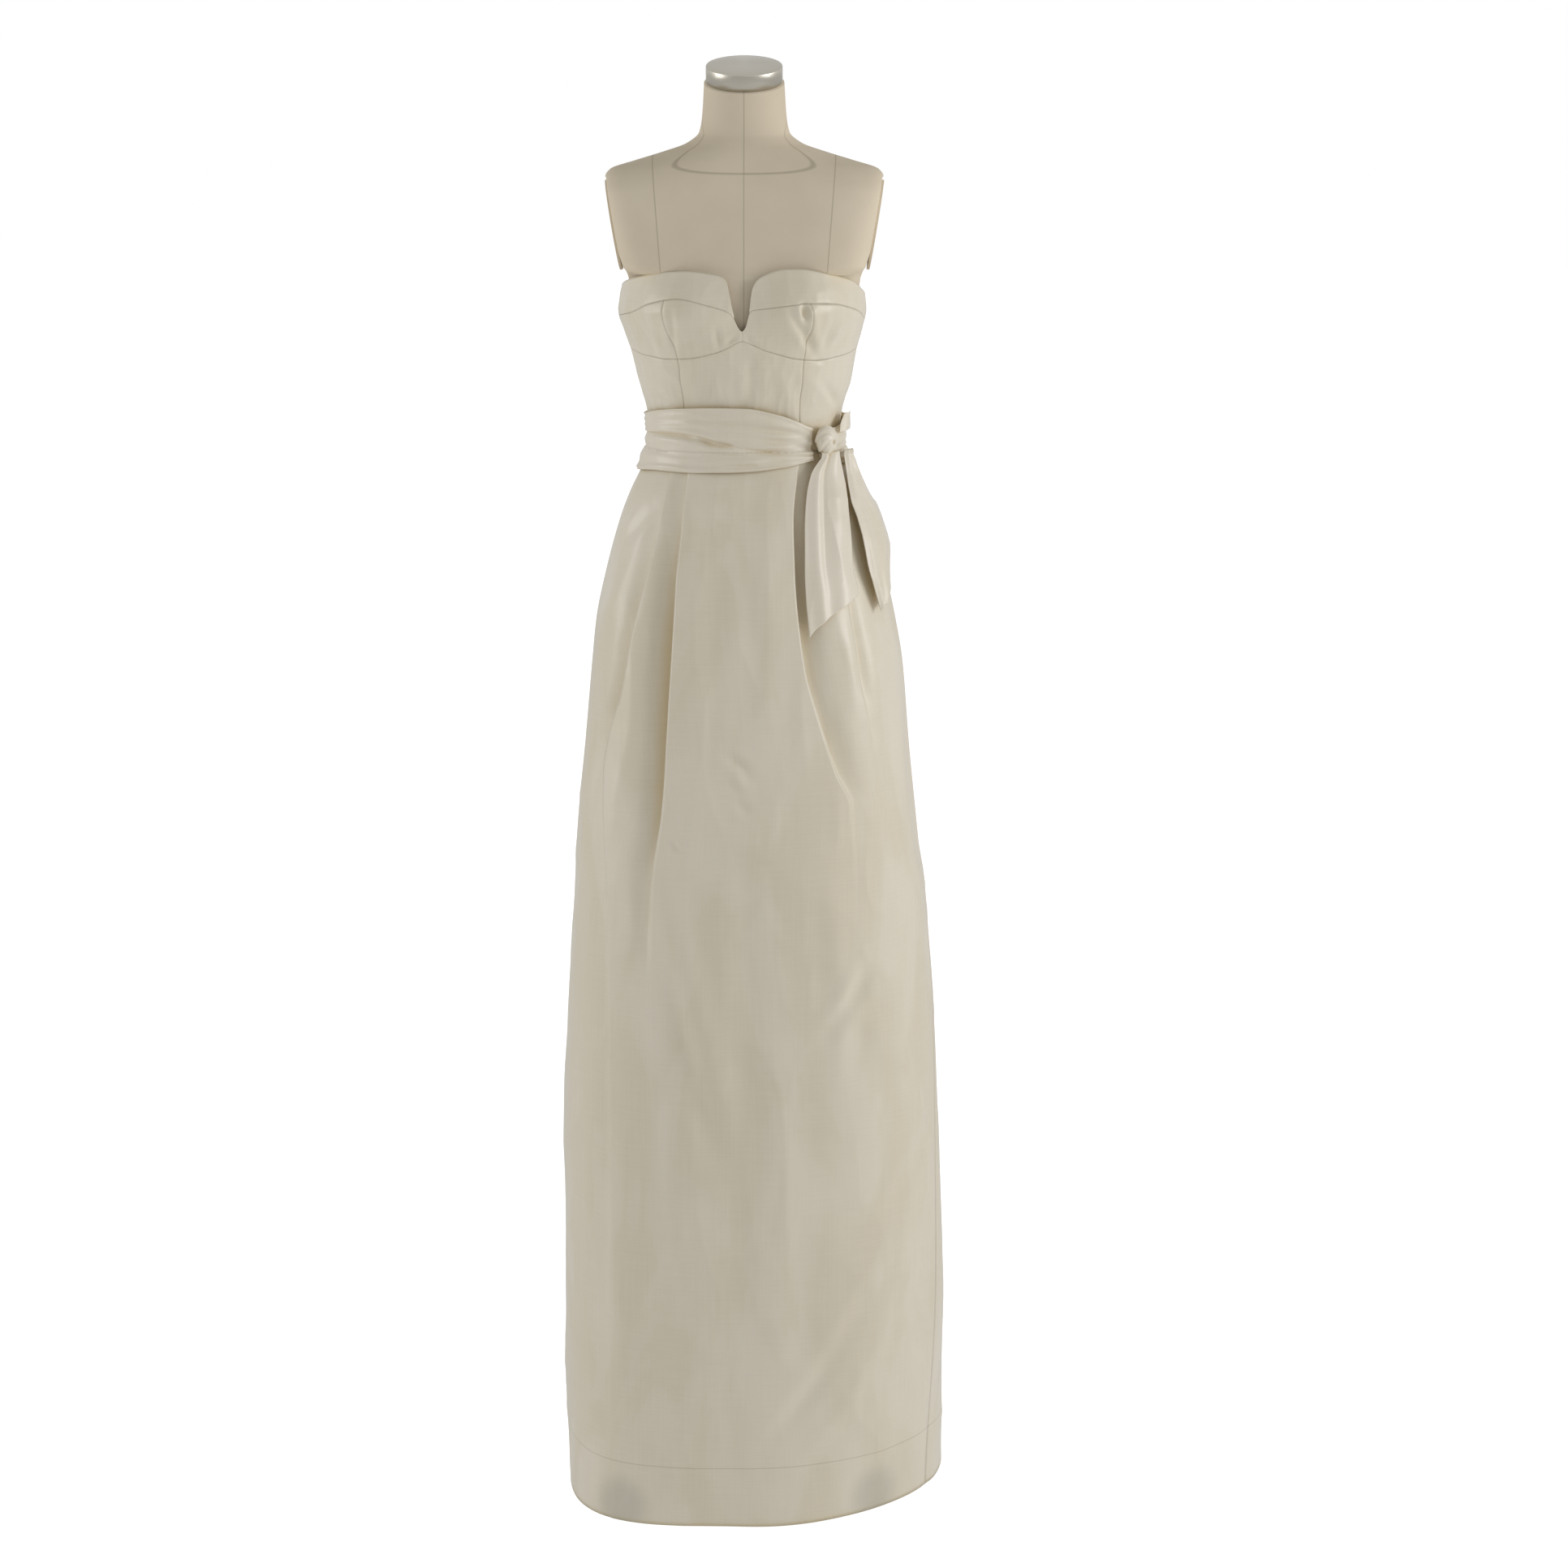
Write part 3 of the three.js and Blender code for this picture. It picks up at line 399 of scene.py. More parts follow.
SKIRT_CREASES = (
    Crease(((-108, 1190), (-126, 1165), (-150, 1136)), 2.2, 5),
    Crease(((-20, 912), (-6, 905), (6, 897)), 2.4, 6),
    Crease(((-12, 890), (4, 878)), -1.8, 6),
    Crease(((-10, 860), (8, 850)), 1.6, 6),
    Crease(((-86, 815), (-72, 800)), 2.0, 5),
    Crease(((-80, 730), (-48, 600), (-14, 480)), -2.6, 17),
    Crease(((-100, 690), (-66, 560), (-30, 430)), 2.0, 15),
    Crease(((96, 590), (118, 622), (146, 655)), 2.6, 9),
    Crease(((112, 640), (136, 680)), -1.8, 9),
    Crease(((20, 95), (80, 170), (142, 268)), 2.6, 12),
    Crease(((60, 80), (120, 150), (176, 250)), -2.2, 14),
    Crease(((176, 380), (204, 430), (222, 470)), 2.6, 10),
    Crease(((163, 985), (170, 925), (171, 862)), 2.4, 7),
    Crease(((120, 1085), (132, 1020), (138, 960)), 2.0, 7),
    Crease(((95, 760), (112, 640), (110, 520)), -2.0, 14),
    Crease(((-175, 1010), (-176, 900), (-182, 760)), 2.0, 8),
    Crease(((-60, 1190), (-54, 1140)), -1.4, 9),
    Crease(((20, 1180), (28, 1060), (24, 930)), -1.5, 15),
    Crease(((-30, 1150), (-34, 1010), (-44, 880)), 1.3, 13),
    Crease(((-8, 800), (6, 640), (2, 500)), 1.8, 18),
    Crease(((40, 500), (30, 330), (44, 190)), -2.2, 22),
    Crease(((-110, 420), (-118, 250), (-104, 120)), 1.8, 20),
    Crease(((-60, 330), (-52, 190), (-60, 70)), -1.6, 22),
    Crease(((190, 760), (196, 620), (204, 500)), 2.0, 12),
)
BODICE_CREASES = (
    Crease(((-82, 1415), (-80, 1368)), 1.3, 4), Crease(((-31, 1395), (-28, 1370)), 1.4, 4),
    Crease(((-100, 1358), (-118, 1402)), 1.6, 5), Crease(((86, 1357), (52, 1416)), 1.5, 5),
    Crease(((88, 1357), (106, 1408)), 1.6, 5), Crease(((92, 1357), (124, 1398)), 1.7, 5),
    Crease(((68, 1421), (71, 1404)), 3.4, 4), Crease(((78, 1420), (82, 1372)), -1.6, 6),
    Crease(((-8, 1386), (-22, 1376)), 1.0, 3), Crease(((3, 1386), (14, 1374)), 1.0, 3),
    Crease(((-34, 1352), (-36, 1305)), 1.6, 8), Crease(((9, 1362), (7, 1308)), 1.2, 7),
    Crease(((-58, 1340), (-54, 1306)), -1.0, 8), Crease(((44, 1345), (50, 1300)), -1.0, 9),
    Crease(((-106, 1322), (-88, 1304)), 1.6, 5), Crease(((92, 1330), (108, 1300)), 1.6, 5),
)

SASH_CREASES = (
    Crease(((-72, 1293), (-10, 1283), (60, 1273), (95, 1268)), 2.4, 4),
    Crease(((-118, 1274), (-66, 1270), (-38, 1263)), 2.2, 3.5),
    Crease(((-48, 1267), (-36, 1262), (-16, 1259)), 3.4, 3),
    Crease(((-24, 1262), (14, 1263), (60, 1265), (96, 1265)), 2.2, 4),
    Crease(((-112, 1250), (-40, 1246), (30, 1252), (92, 1258)), 2.4, 4.5),
    Crease(((-64, 1238), (10, 1238), (70, 1248)), 1.8, 4),
)


# ------------------------------------------------------------------ finishes
def linear(hex_colour: str) -> tuple:
    """Turns an sRGB hex colour into Blender's linear red, green, blue and alpha."""
    parts = [int(hex_colour[k:k + 2], 16) / 255 for k in (0, 2, 4)]
    return tuple(c / 12.92 if c <= 0.04045 else ((c + 0.055) / 1.055) ** 2.4 for c in parts) + (1.0,)


def add(tree: bpy.types.NodeTree, kind: str, settings: Optional[dict] = None,
        values: Optional[dict] = None, links: Optional[dict] = None) -> bpy.types.Node:
    """Adds a node with its settings and links.

    A Map Range numbers its limits 1 and 2 (from) and 3 and 4 (to).  A Mix of colours numbers its
    factor 0, its colours 6 and 7, and its result 2.

    Args:
        tree: the node tree.
        kind: Blender's name for the node.
        settings: attributes of the node.
        values: constants for its inputs, by name or number.
        links: output sockets that feed its inputs, by name or number.

    Returns:
        The node.
    """
    made = tree.nodes.new(kind)
    for name, value in (settings or {}).items():
        setattr(made, name, value)
    for name, value in (values or {}).items():
        made.inputs[name].default_value = value
    for name, socket in (links or {}).items():
        tree.links.new(socket, made.inputs[name])
    return made


def new_material(name: str) -> tuple:
    """Makes a bare material.

    Args:
        name: its name.

    Returns:
        The material, its node tree, its shader and its texture coordinates, in metres.
    """
    material = bpy.data.materials.new(name)
    material.use_nodes = True
    tree = material.node_tree
    shader = tree.nodes["Principled BSDF"]
    return material, tree, shader, add(tree, "ShaderNodeTexCoord")


@dataclass(frozen=True)
class SilkTaffeta:
    """Woven silk taffeta: a crisp plain weave, whose slubs and dry crumples catch the light.

    The golden tone of its folds, where light goes from cloth to cloth, is painted shade in the colour.
    """

    name: str
    colour: str
    shade: str
    roughness: float = 0.36
    slub_mm: float = 2.2           # the real yarn is 0.2 mm; drawn coarser so that it shows
    # painted shade: grey spots where the stand's dark feet show through the cloth
    feet: tuple = ()               # where the stand's dark feet show faintly through the cloth
    foot_shadow_reach: float = 0.046      # how far a foot's shadow spreads, in metres
    hem_line: float = 76.0         # height of the stitches that hold the turned-up hem

    def build(self) -> bpy.types.Material:
        """Makes the material: ivory yarn, faint slubs, painted golden shade in the folds, painted sheen
        patches, painted shade over the stand's feet and a soft sheen.

        Returns:
            The material.
        """
        material, tree, shader, coord = new_material(self.name)
        cloth = coord.outputs["UV"]
        where = coord.outputs["Object"]
        weft = add(tree, "ShaderNodeMapping", values={"Scale": (18.0, 1 / (self.slub_mm * MM), 1.0)},
                   links={"Vector": cloth})
        slub = add(tree, "ShaderNodeTexNoise", values={"Scale": 1.0, "Detail": 3.0},
                   links={"Vector": weft.outputs[0]})
        warp = add(tree, "ShaderNodeMapping", values={"Scale": (1 / (self.slub_mm * MM), 9.0, 1.0)},
                   links={"Vector": cloth})
        rib = add(tree, "ShaderNodeTexNoise", values={"Scale": 1.0, "Detail": 2.0},
                  links={"Vector": warp.outputs[0]})
        weave = add(tree, "ShaderNodeMath", {"operation": "ADD"},
                    links={0: slub.outputs[0], 1: rib.outputs[0]})
        crumple = add(tree, "ShaderNodeTexNoise", {"noise_type": "RIDGED_MULTIFRACTAL"},
                      {"Scale": 22.0, "Detail": 2.5, "Roughness": 0.5, "Distortion": 0.4},
                      {"Vector": where})
        # painted sheen: soft patches, stretched downwards, are mixed towards a pale ivory
        fall = add(tree, "ShaderNodeMapping", values={"Scale": (13.0, 13.0, 4.5)},
                   links={"Vector": where})
        drift = add(tree, "ShaderNodeTexNoise", values={"Scale": 1.0, "Detail": 3.0, "Distortion": 0.6},
                    links={"Vector": fall.outputs[0]})
        tone = add(tree, "ShaderNodeMapRange", values={1: 0.6, 2: 1.4, 3: 0.0, 4: 1.0},
                   links={0: weave.outputs[0]})
        base = add(tree, "ShaderNodeMix", {"data_type": "RGBA"},
                   {6: linear(self.shade), 7: linear(self.colour)}, {0: tone.outputs[0]})
        lit = add(tree, "ShaderNodeMapRange", values={1: 0.42, 2: 0.60, 3: 0.0, 4: 0.30},
                  links={0: drift.outputs[0]})
        pale = add(tree, "ShaderNodeMix", {"data_type": "RGBA"}, {7: linear("F6F0E4")},
                   {0: lit.outputs[0], 6: base.outputs[2]})
        # painted shade: hollows and folds, found by ambient occlusion, are tinted golden for the light that
        # goes from cloth to cloth
        painted_fold_shade = add(tree, "ShaderNodeAmbientOcclusion", {"samples": 6}, {"Distance": 0.022})
        depth = add(tree, "ShaderNodeMapRange", values={1: 0.30, 2: 0.80, 3: 0.6, 4: 0.0},
                    links={0: painted_fold_shade.outputs["AO"]})
        colour = add(tree, "ShaderNodeMix", {"data_type": "RGBA"}, {7: linear("D3BE8B")},
                     {0: depth.outputs[0], 6: pale.outputs[2]}).outputs[2]
        # painted shade: the cloth is greyed round each foot, for the feet seen through it
        for foot in self.feet:
            away = add(tree, "ShaderNodeVectorMath", {"operation": "DISTANCE"}, {1: foot},
                       {0: where})
            faint = add(tree, "ShaderNodeMapRange", {"interpolation_type": "SMOOTHSTEP"},
                        {1: 0.014, 2: self.foot_shadow_reach, 3: 0.34, 4: 0.0},
                        {0: away.outputs["Value"]})
            colour = add(tree, "ShaderNodeMix", {"data_type": "RGBA"}, {7: linear("A3A399")},
                         {0: faint.outputs[0], 6: colour}).outputs[2]
        height = add(tree, "ShaderNodeSeparateXYZ", links={0: where})
        off = add(tree, "ShaderNodeMath", {"operation": "COMPARE"},
                  {1: self.hem_line * MM, 2: 0.0007}, {0: height.outputs[2]})
        stitch = add(tree, "ShaderNodeMath", {"operation": "MULTIPLY"}, {1: 0.30}, {0: off.outputs[0]})
        colour = add(tree, "ShaderNodeMix", {"data_type": "RGBA"}, {7: linear("A89A7E")},
                     {0: stitch.outputs[0], 6: colour}).outputs[2]
        fine = add(tree, "ShaderNodeBump", values={"Strength": 0.05, "Distance": 0.0004},
                   links={"Height": weave.outputs[0]})
        soft = add(tree, "ShaderNodeBump", values={"Strength": 0.35, "Distance": 0.0020},
                   links={"Height": crumple.outputs[0], "Normal": fine.outputs[0]})
        tree.links.new(colour, shader.inputs["Base Color"])
        tree.links.new(soft.outputs[0], shader.inputs["Normal"])
        shader.inputs["Roughness"].default_value = self.roughness
        shader.inputs["Specular IOR Level"].default_value = 0.5
        shader.inputs["IOR"].default_value = 1.5
        shader.inputs["Sheen Weight"].default_value = 0.25
        shader.inputs["Sheen Roughness"].default_value = 0.4
        return material


@dataclass(frozen=True)
class SewnLinen:
    """Unbleached linen pulled over a hard form: matt, with a visible plain weave and sewn seams."""

    name: str = "woven_linen"
    colour: str = "EADDC6"
    shade: str = "DDCFB6"
    yarn_mm: float = 0.9           # the real yarn is 0.5 mm; drawn coarser so that it shows
    seam_level: float = 1000.0
    seams: tuple = ((0.0, 0.0), (-59.0, -0.078), (59.0, 0.078))   # x at the seam level, and its lean

    def build(self) -> bpy.types.Material:
        """Makes the material: two crossing yarns, blotches of tone, and dark thin seams.

        Returns:
            The material.
        """
        material, tree, shader, coord = new_material(self.name)
        where = coord.outputs["Object"]
        yarns = [add(tree, "ShaderNodeTexWave", {"bands_direction": direction},
                     {"Scale": 0.314 / (self.yarn_mm * MM), "Distortion": 1.6, "Detail": 1.5},
                     {"Vector": where}) for direction in ("X", "Z")]
        weave = add(tree, "ShaderNodeMath", {"operation": "ADD"},
                    links={0: yarns[0].outputs[1], 1: yarns[1].outputs[1]})
        cloudy = add(tree, "ShaderNodeTexNoise", values={"Scale": 14.0, "Detail": 4.0},
                     links={"Vector": where})
        mixed = add(tree, "ShaderNodeMath", {"operation": "MULTIPLY_ADD"}, {1: 0.25},
                    {0: weave.outputs[0], 2: cloudy.outputs[0]})
        tone = add(tree, "ShaderNodeMapRange", values={1: 0.35, 2: 1.05},
                   links={0: mixed.outputs[0]})
        colour = add(tree, "ShaderNodeMix", {"data_type": "RGBA"},
                     {6: linear(self.shade), 7: linear(self.colour)}, {0: tone.outputs[0]}).outputs[2]
        axes = add(tree, "ShaderNodeSeparateXYZ", links={0: where})
        lines = []
        for offset, lean in self.seams:
            start = (AXIS_X + offset - lean * self.seam_level) * MM
            along = add(tree, "ShaderNodeMath", {"operation": "MULTIPLY_ADD"}, {1: -lean, 2: -start},
                        {0: axes.outputs[2]})
            lines.append(add(tree, "ShaderNodeMath", {"operation": "ADD"},
                             links={0: axes.outputs[0], 1: along.outputs[0]}).outputs[0])
        neck = add(tree, "ShaderNodeMath", {"operation": "MULTIPLY_ADD"}, {1: -1.0, 2: -1.633},
                   {0: axes.outputs[1]})
        lines.append(add(tree, "ShaderNodeMath", {"operation": "ADD"},
                         links={0: axes.outputs[2], 1: neck.outputs[0]}).outputs[0])
        for line in lines:
            off = add(tree, "ShaderNodeMath", {"operation": "ABSOLUTE"}, links={0: line})
            thread = add(tree, "ShaderNodeMapRange", values={1: 0.0003, 2: 0.0010, 3: 0.5, 4: 0.0},
                         links={0: off.outputs[0]})
            colour = add(tree, "ShaderNodeMix", {"data_type": "RGBA"}, {7: linear("A79A84")},
                         {0: thread.outputs[0], 6: colour}).outputs[2]
        bump = add(tree, "ShaderNodeBump", values={"Strength": 0.25, "Distance": 0.0004},
                   links={"Height": weave.outputs[0]})
        tree.links.new(colour, shader.inputs["Base Color"])
        tree.links.new(bump.outputs[0], shader.inputs["Normal"])
        shader.inputs["Roughness"].default_value = 0.9
        shader.inputs["Specular IOR Level"].default_value = 0.2
        return material


@dataclass(frozen=True)
class BrushedSteel:
    """Stainless steel turned and brushed round its edge: streaked, satin reflections."""

    name: str = "brushed_steel"
    colour: str = "C9C4B8"

    def build(self) -> bpy.types.Material:
        """Makes the material: hairline streaks in the roughness and the bump.

        Returns:
            The material.
        """
        material, tree, shader, coord = new_material(self.name)
        grain = add(tree, "ShaderNodeMapping", values={"Scale": (40.0, 40.0, 3000.0)},
                    links={"Vector": coord.outputs["Object"]})
        hairline = add(tree, "ShaderNodeTexNoise", values={"Scale": 1.0, "Detail": 3.0},
                       links={"Vector": grain.outputs[0]})
        rough = add(tree, "ShaderNodeMapRange", values={3: 0.24, 4: 0.38},
                    links={0: hairline.outputs[0]})
        bump = add(tree, "ShaderNodeBump", values={"Strength": 0.08, "Distance": 0.0002},
                   links={"Height": hairline.outputs[0]})
        tree.links.new(rough.outputs[0], shader.inputs["Roughness"])
        tree.links.new(bump.outputs[0], shader.inputs["Normal"])
        shader.inputs["Base Color"].default_value = linear(self.colour)
        shader.inputs["Metallic"].default_value = 1.0
        shader.inputs["Anisotropic"].default_value = 0.5
        return material


@dataclass(frozen=True)
class PlainSurface:
    """A moulded or painted surface: an even colour, whose faint orange peel softens its gloss."""

    name: str
    colour: str
    roughness: float

    def build(self) -> bpy.types.Material:
        """Makes the material: one colour with a fine bump.

        Returns:
            The material.
        """
        material, tree, shader, coord = new_material(self.name)
        peel = add(tree, "ShaderNodeTexNoise", values={"Scale": 700.0, "Detail": 2.0},
                   links={"Vector": coord.outputs["Object"]})
        bump = add(tree, "ShaderNodeBump", values={"Strength": 0.15, "Distance": 0.0002},
                   links={"Height": peel.outputs[0]})
        tree.links.new(bump.outputs[0], shader.inputs["Normal"])
        shader.inputs["Base Color"].default_value = linear(self.colour)
        shader.inputs["Roughness"].default_value = self.roughness
        return material


class Slot(Enum):
    """The record's material slots."""

    TAFFETA = "silk_taffeta"
    SASH = "silk_taffeta_sash"
    LINEN = "linen"
    STEEL = "brushed_steel"
    PAINT = "painted_steel"
    RUBBER = "rubber"


# ------------------------------------------------------------------ meshes
def grid_piece(name: str, points: np.ndarray, material: bpy.types.Material,
               thickness: float = 0.0, closed: bool = False) -> bpy.types.Object:
    """Makes a piece from a grid of points whose rows go down and whose columns go by turn.

    Args:
        name: the piece's name.
        points: rows by columns by three, in metres.
        material: its finish.
        thickness: of the cloth, in millimetres, or 0 for a bare surface.
        closed: whether the last column joins the first.

    Returns:
        The piece, riding on the frame and standing for nothing yet.
    """
    rows, columns, _ = points.shape
    span = columns if closed else columns - 1
    i, j = np.meshgrid(np.arange(rows - 1), np.arange(span), indexing="ij")
    right = (j + 1) % columns
    faces = np.stack([i * columns + j, (i + 1) * columns + j, (i + 1) * columns + right,
                      i * columns + right], axis=-1).reshape(-1, 4)
    mesh = bpy.data.meshes.new(name)
    mesh.from_pydata(points.reshape(-1, 3).tolist(), [], faces.tolist())
    across = np.linalg.norm(np.diff(points, axis=1, append=points[:, :1]), axis=2)
    along = np.cumsum(np.insert(across[:, :-1], 0, 0, axis=1), axis=1)
    along -= along[:, columns // 2][:, None]
    down = points[:, :, 2]
    uv = np.stack([along, down], axis=-1).reshape(-1, 2)
    layer = mesh.uv_layers.new(name="cloth")
    layer.data.foreach_set("uv", uv[faces.reshape(-1)].astype(np.float32).reshape(-1))
    mesh.polygons.foreach_set("use_smooth", [True] * len(faces))
    mesh.materials.append(material)
    piece = bpy.data.objects.new(name, mesh)
    bpy.context.scene.collection.objects.link(piece)
    if thickness:
        wall = piece.modifiers.new("cloth", "SOLIDIFY")
        wall.thickness = thickness * MM
        wall.offset = -1
    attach(piece, "root")
    log.info("%s: %d faces", name, len(faces))
    return piece


@dataclass
class Bodice:
    """The bodice, cut in a band, four cup panels, three midriff panels and two backs."""

    material: bpy.types.Material
    wall: float = 0.9
    fine: float = 1.9              # spacing of the mesh, in millimetres
    seam_gap: float = 0.1          # from the panel's edge to the middle of a cross seam
    seam_dip: float = 0.3
    crease_gain: float = 1.5       # creases drawn a little deeper than measured
    girth_radius: float = 115.0    # turns a turn into a distance for the crumples
    large_facet: tuple = (30.0, 46.0)
    small_facet: tuple = (12.0, 19.0)
    wrinkles: Wrinkles = field(default_factory=lambda: Wrinkles(11))

    def line_turns(self, seam: CrossSeam) -> np.ndarray:
        """Turns of the bodice's lines where they meet a cross seam.

        Args:
            seam: the cross seam.

        Returns:
            One turn for each line, in order.
        """
        level = {CrossSeam.NECKLINE: LEVEL_NECKLINE, CrossSeam.BAND: LEVEL_BAND,
                 CrossSeam.BUST: LEVEL_BUST, CrossSeam.WAIST: WAIST_Z}[seam]
        neckline, bust, waist = np.array([line.value for line in Line], float).T
        if level > LEVEL_BUST:
            return bust + (neckline - bust) * (level - LEVEL_BUST) / (LEVEL_NECKLINE - LEVEL_BUST)
        return bust + (waist - bust) * (LEVEL_BUST - level) / (LEVEL_BUST - WAIST_Z)

    def panel(self, name: str, sides: tuple, upper: CrossSeam, lower: CrossSeam, flat: tuple) -> None:
        """Makes one panel between two lines and two cross seams.

        Args:
            name: the CAD node that it stands for.
            sides: the lines at its two upright edges, in either order.
            upper: the cross seam at its top.
            lower: the cross seam at its bottom.
            flat: its cut, width and length in metres.
        """
        lines = list(Line)
        a, b = sorted(lines.index(side) for side in sides)
        columns = max(24, int(flat[0] / (self.fine * MM)))
        rows = max(12, int(flat[1] / (self.fine * MM)))
        guide = self.line_turns(CrossSeam.BUST)[a:b + 1]
        spread = np.interp(np.linspace(guide[0], guide[-1], columns), guide, np.arange(a, b + 1))
        top_turn = np.interp(spread, np.arange(len(lines)), self.line_turns(upper))
        low_turn = np.interp(spread, np.arange(len(lines)), self.line_turns(lower))
        top = CROSS_SEAMS.at(upper.value, top_turn)
        if upper is not CrossSeam.NECKLINE:
            top = top - self.seam_gap
        low = np.full(columns, WAIST_Z)
        if lower is not CrossSeam.WAIST:
            low = CROSS_SEAMS.at(lower.value, low_turn)
        v = np.linspace(0, 1, rows)[:, None]
        turn = top_turn * (1 - v) + low_turn * v
        z = top * (1 - v) + (low + self.seam_gap) * v
        radius = bodice_radius(turn, z) + self.relief(turn, z)
        radius -= self.edge_dip(v, np.linspace(0, 1, columns)[None, :], flat, upper)
        piece = grid_piece(name + "_cloth", place(turn, radius, z), self.material, self.wall)
        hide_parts(name)

    def relief(self, turn: np.ndarray, z: np.ndarray) -> np.ndarray:
        """The bodice's creases and its dry crumple.

        Args:
            turn: where round the form.
            z: heights.

        Returns:
            Millimetres outwards.
        """
        across = bodice_radius(turn, z) * np.sin(turn * DEG)
        front = bell(np.maximum(np.abs(turn) - 70, 0), 14)
        hand = sum(crease.relief(across, z) for crease in BODICE_CREASES) * front
        arc = turn * DEG * self.girth_radius
        large = self.wrinkles.crumple(arc, z, *self.large_facet)
        small = self.wrinkles.crumple(arc, -z, *self.small_facet)
        return self.crease_gain * hand + (0.6 * large + 0.3 * small)

    def edge_dip(self, v: np.ndarray, u: np.ndarray, flat: tuple, upper: CrossSeam) -> np.ndarray:
        """How far the cloth sinks into its sewn edges.

        Args:
            v: 0 at the panel's top and 1 at its bottom.
            u: 0 at its left edge and 1 at its right edge.
            flat: its cut, width and length in metres.
            upper: the cross seam at its top; the neckline is a fold and doesn't sink.

        Returns:
            Millimetres inwards.
        """
        far = 50.0                 # a distance at which a seam has no effect
        from_top = v * flat[1] / MM if upper is not CrossSeam.NECKLINE else np.full_like(v, far)
        from_low = (1 - v) * flat[1] / MM
        from_side = np.minimum(u, 1 - u) * flat[0] / MM
        return self.seam_dip * (bell(from_top, 1.6) + bell(from_low, 1.6) + bell(from_side, 1.4))

    def build(self) -> None:
        """Makes every panel of the bodice."""
        halves = (("left", Line.NOTCH_LEFT, Line.PRINCESS_LEFT, Line.SIDE_LEFT, Line.BACK_LEFT),
                  ("right", Line.NOTCH_RIGHT, Line.PRINCESS_RIGHT, Line.SIDE_RIGHT, Line.BACK_RIGHT))
        neckline, band, bust, waist = CrossSeam
        for half, notch, princess, side, back in halves:
            self.panel(f"bodice_band_{half}", (notch, back), neckline, band, (0.40, 0.034))
            self.panel(f"cup_outer_{half}", (princess, side), band, bust, (0.105, 0.056))
            self.panel(f"cup_inner_{half}", (Line.CENTRE, princess), band, bust, (0.095, 0.056))
            self.panel(f"midriff_side_{half}", (princess, side), bust, waist, (0.090, 0.110))
            self.panel(f"bodice_back_{half}", (side, back), band, waist, (0.185, 0.138))
        self.panel("midriff_front", (Line.PRINCESS_LEFT, Line.PRINCESS_RIGHT), bust, waist, (0.165, 0.118))


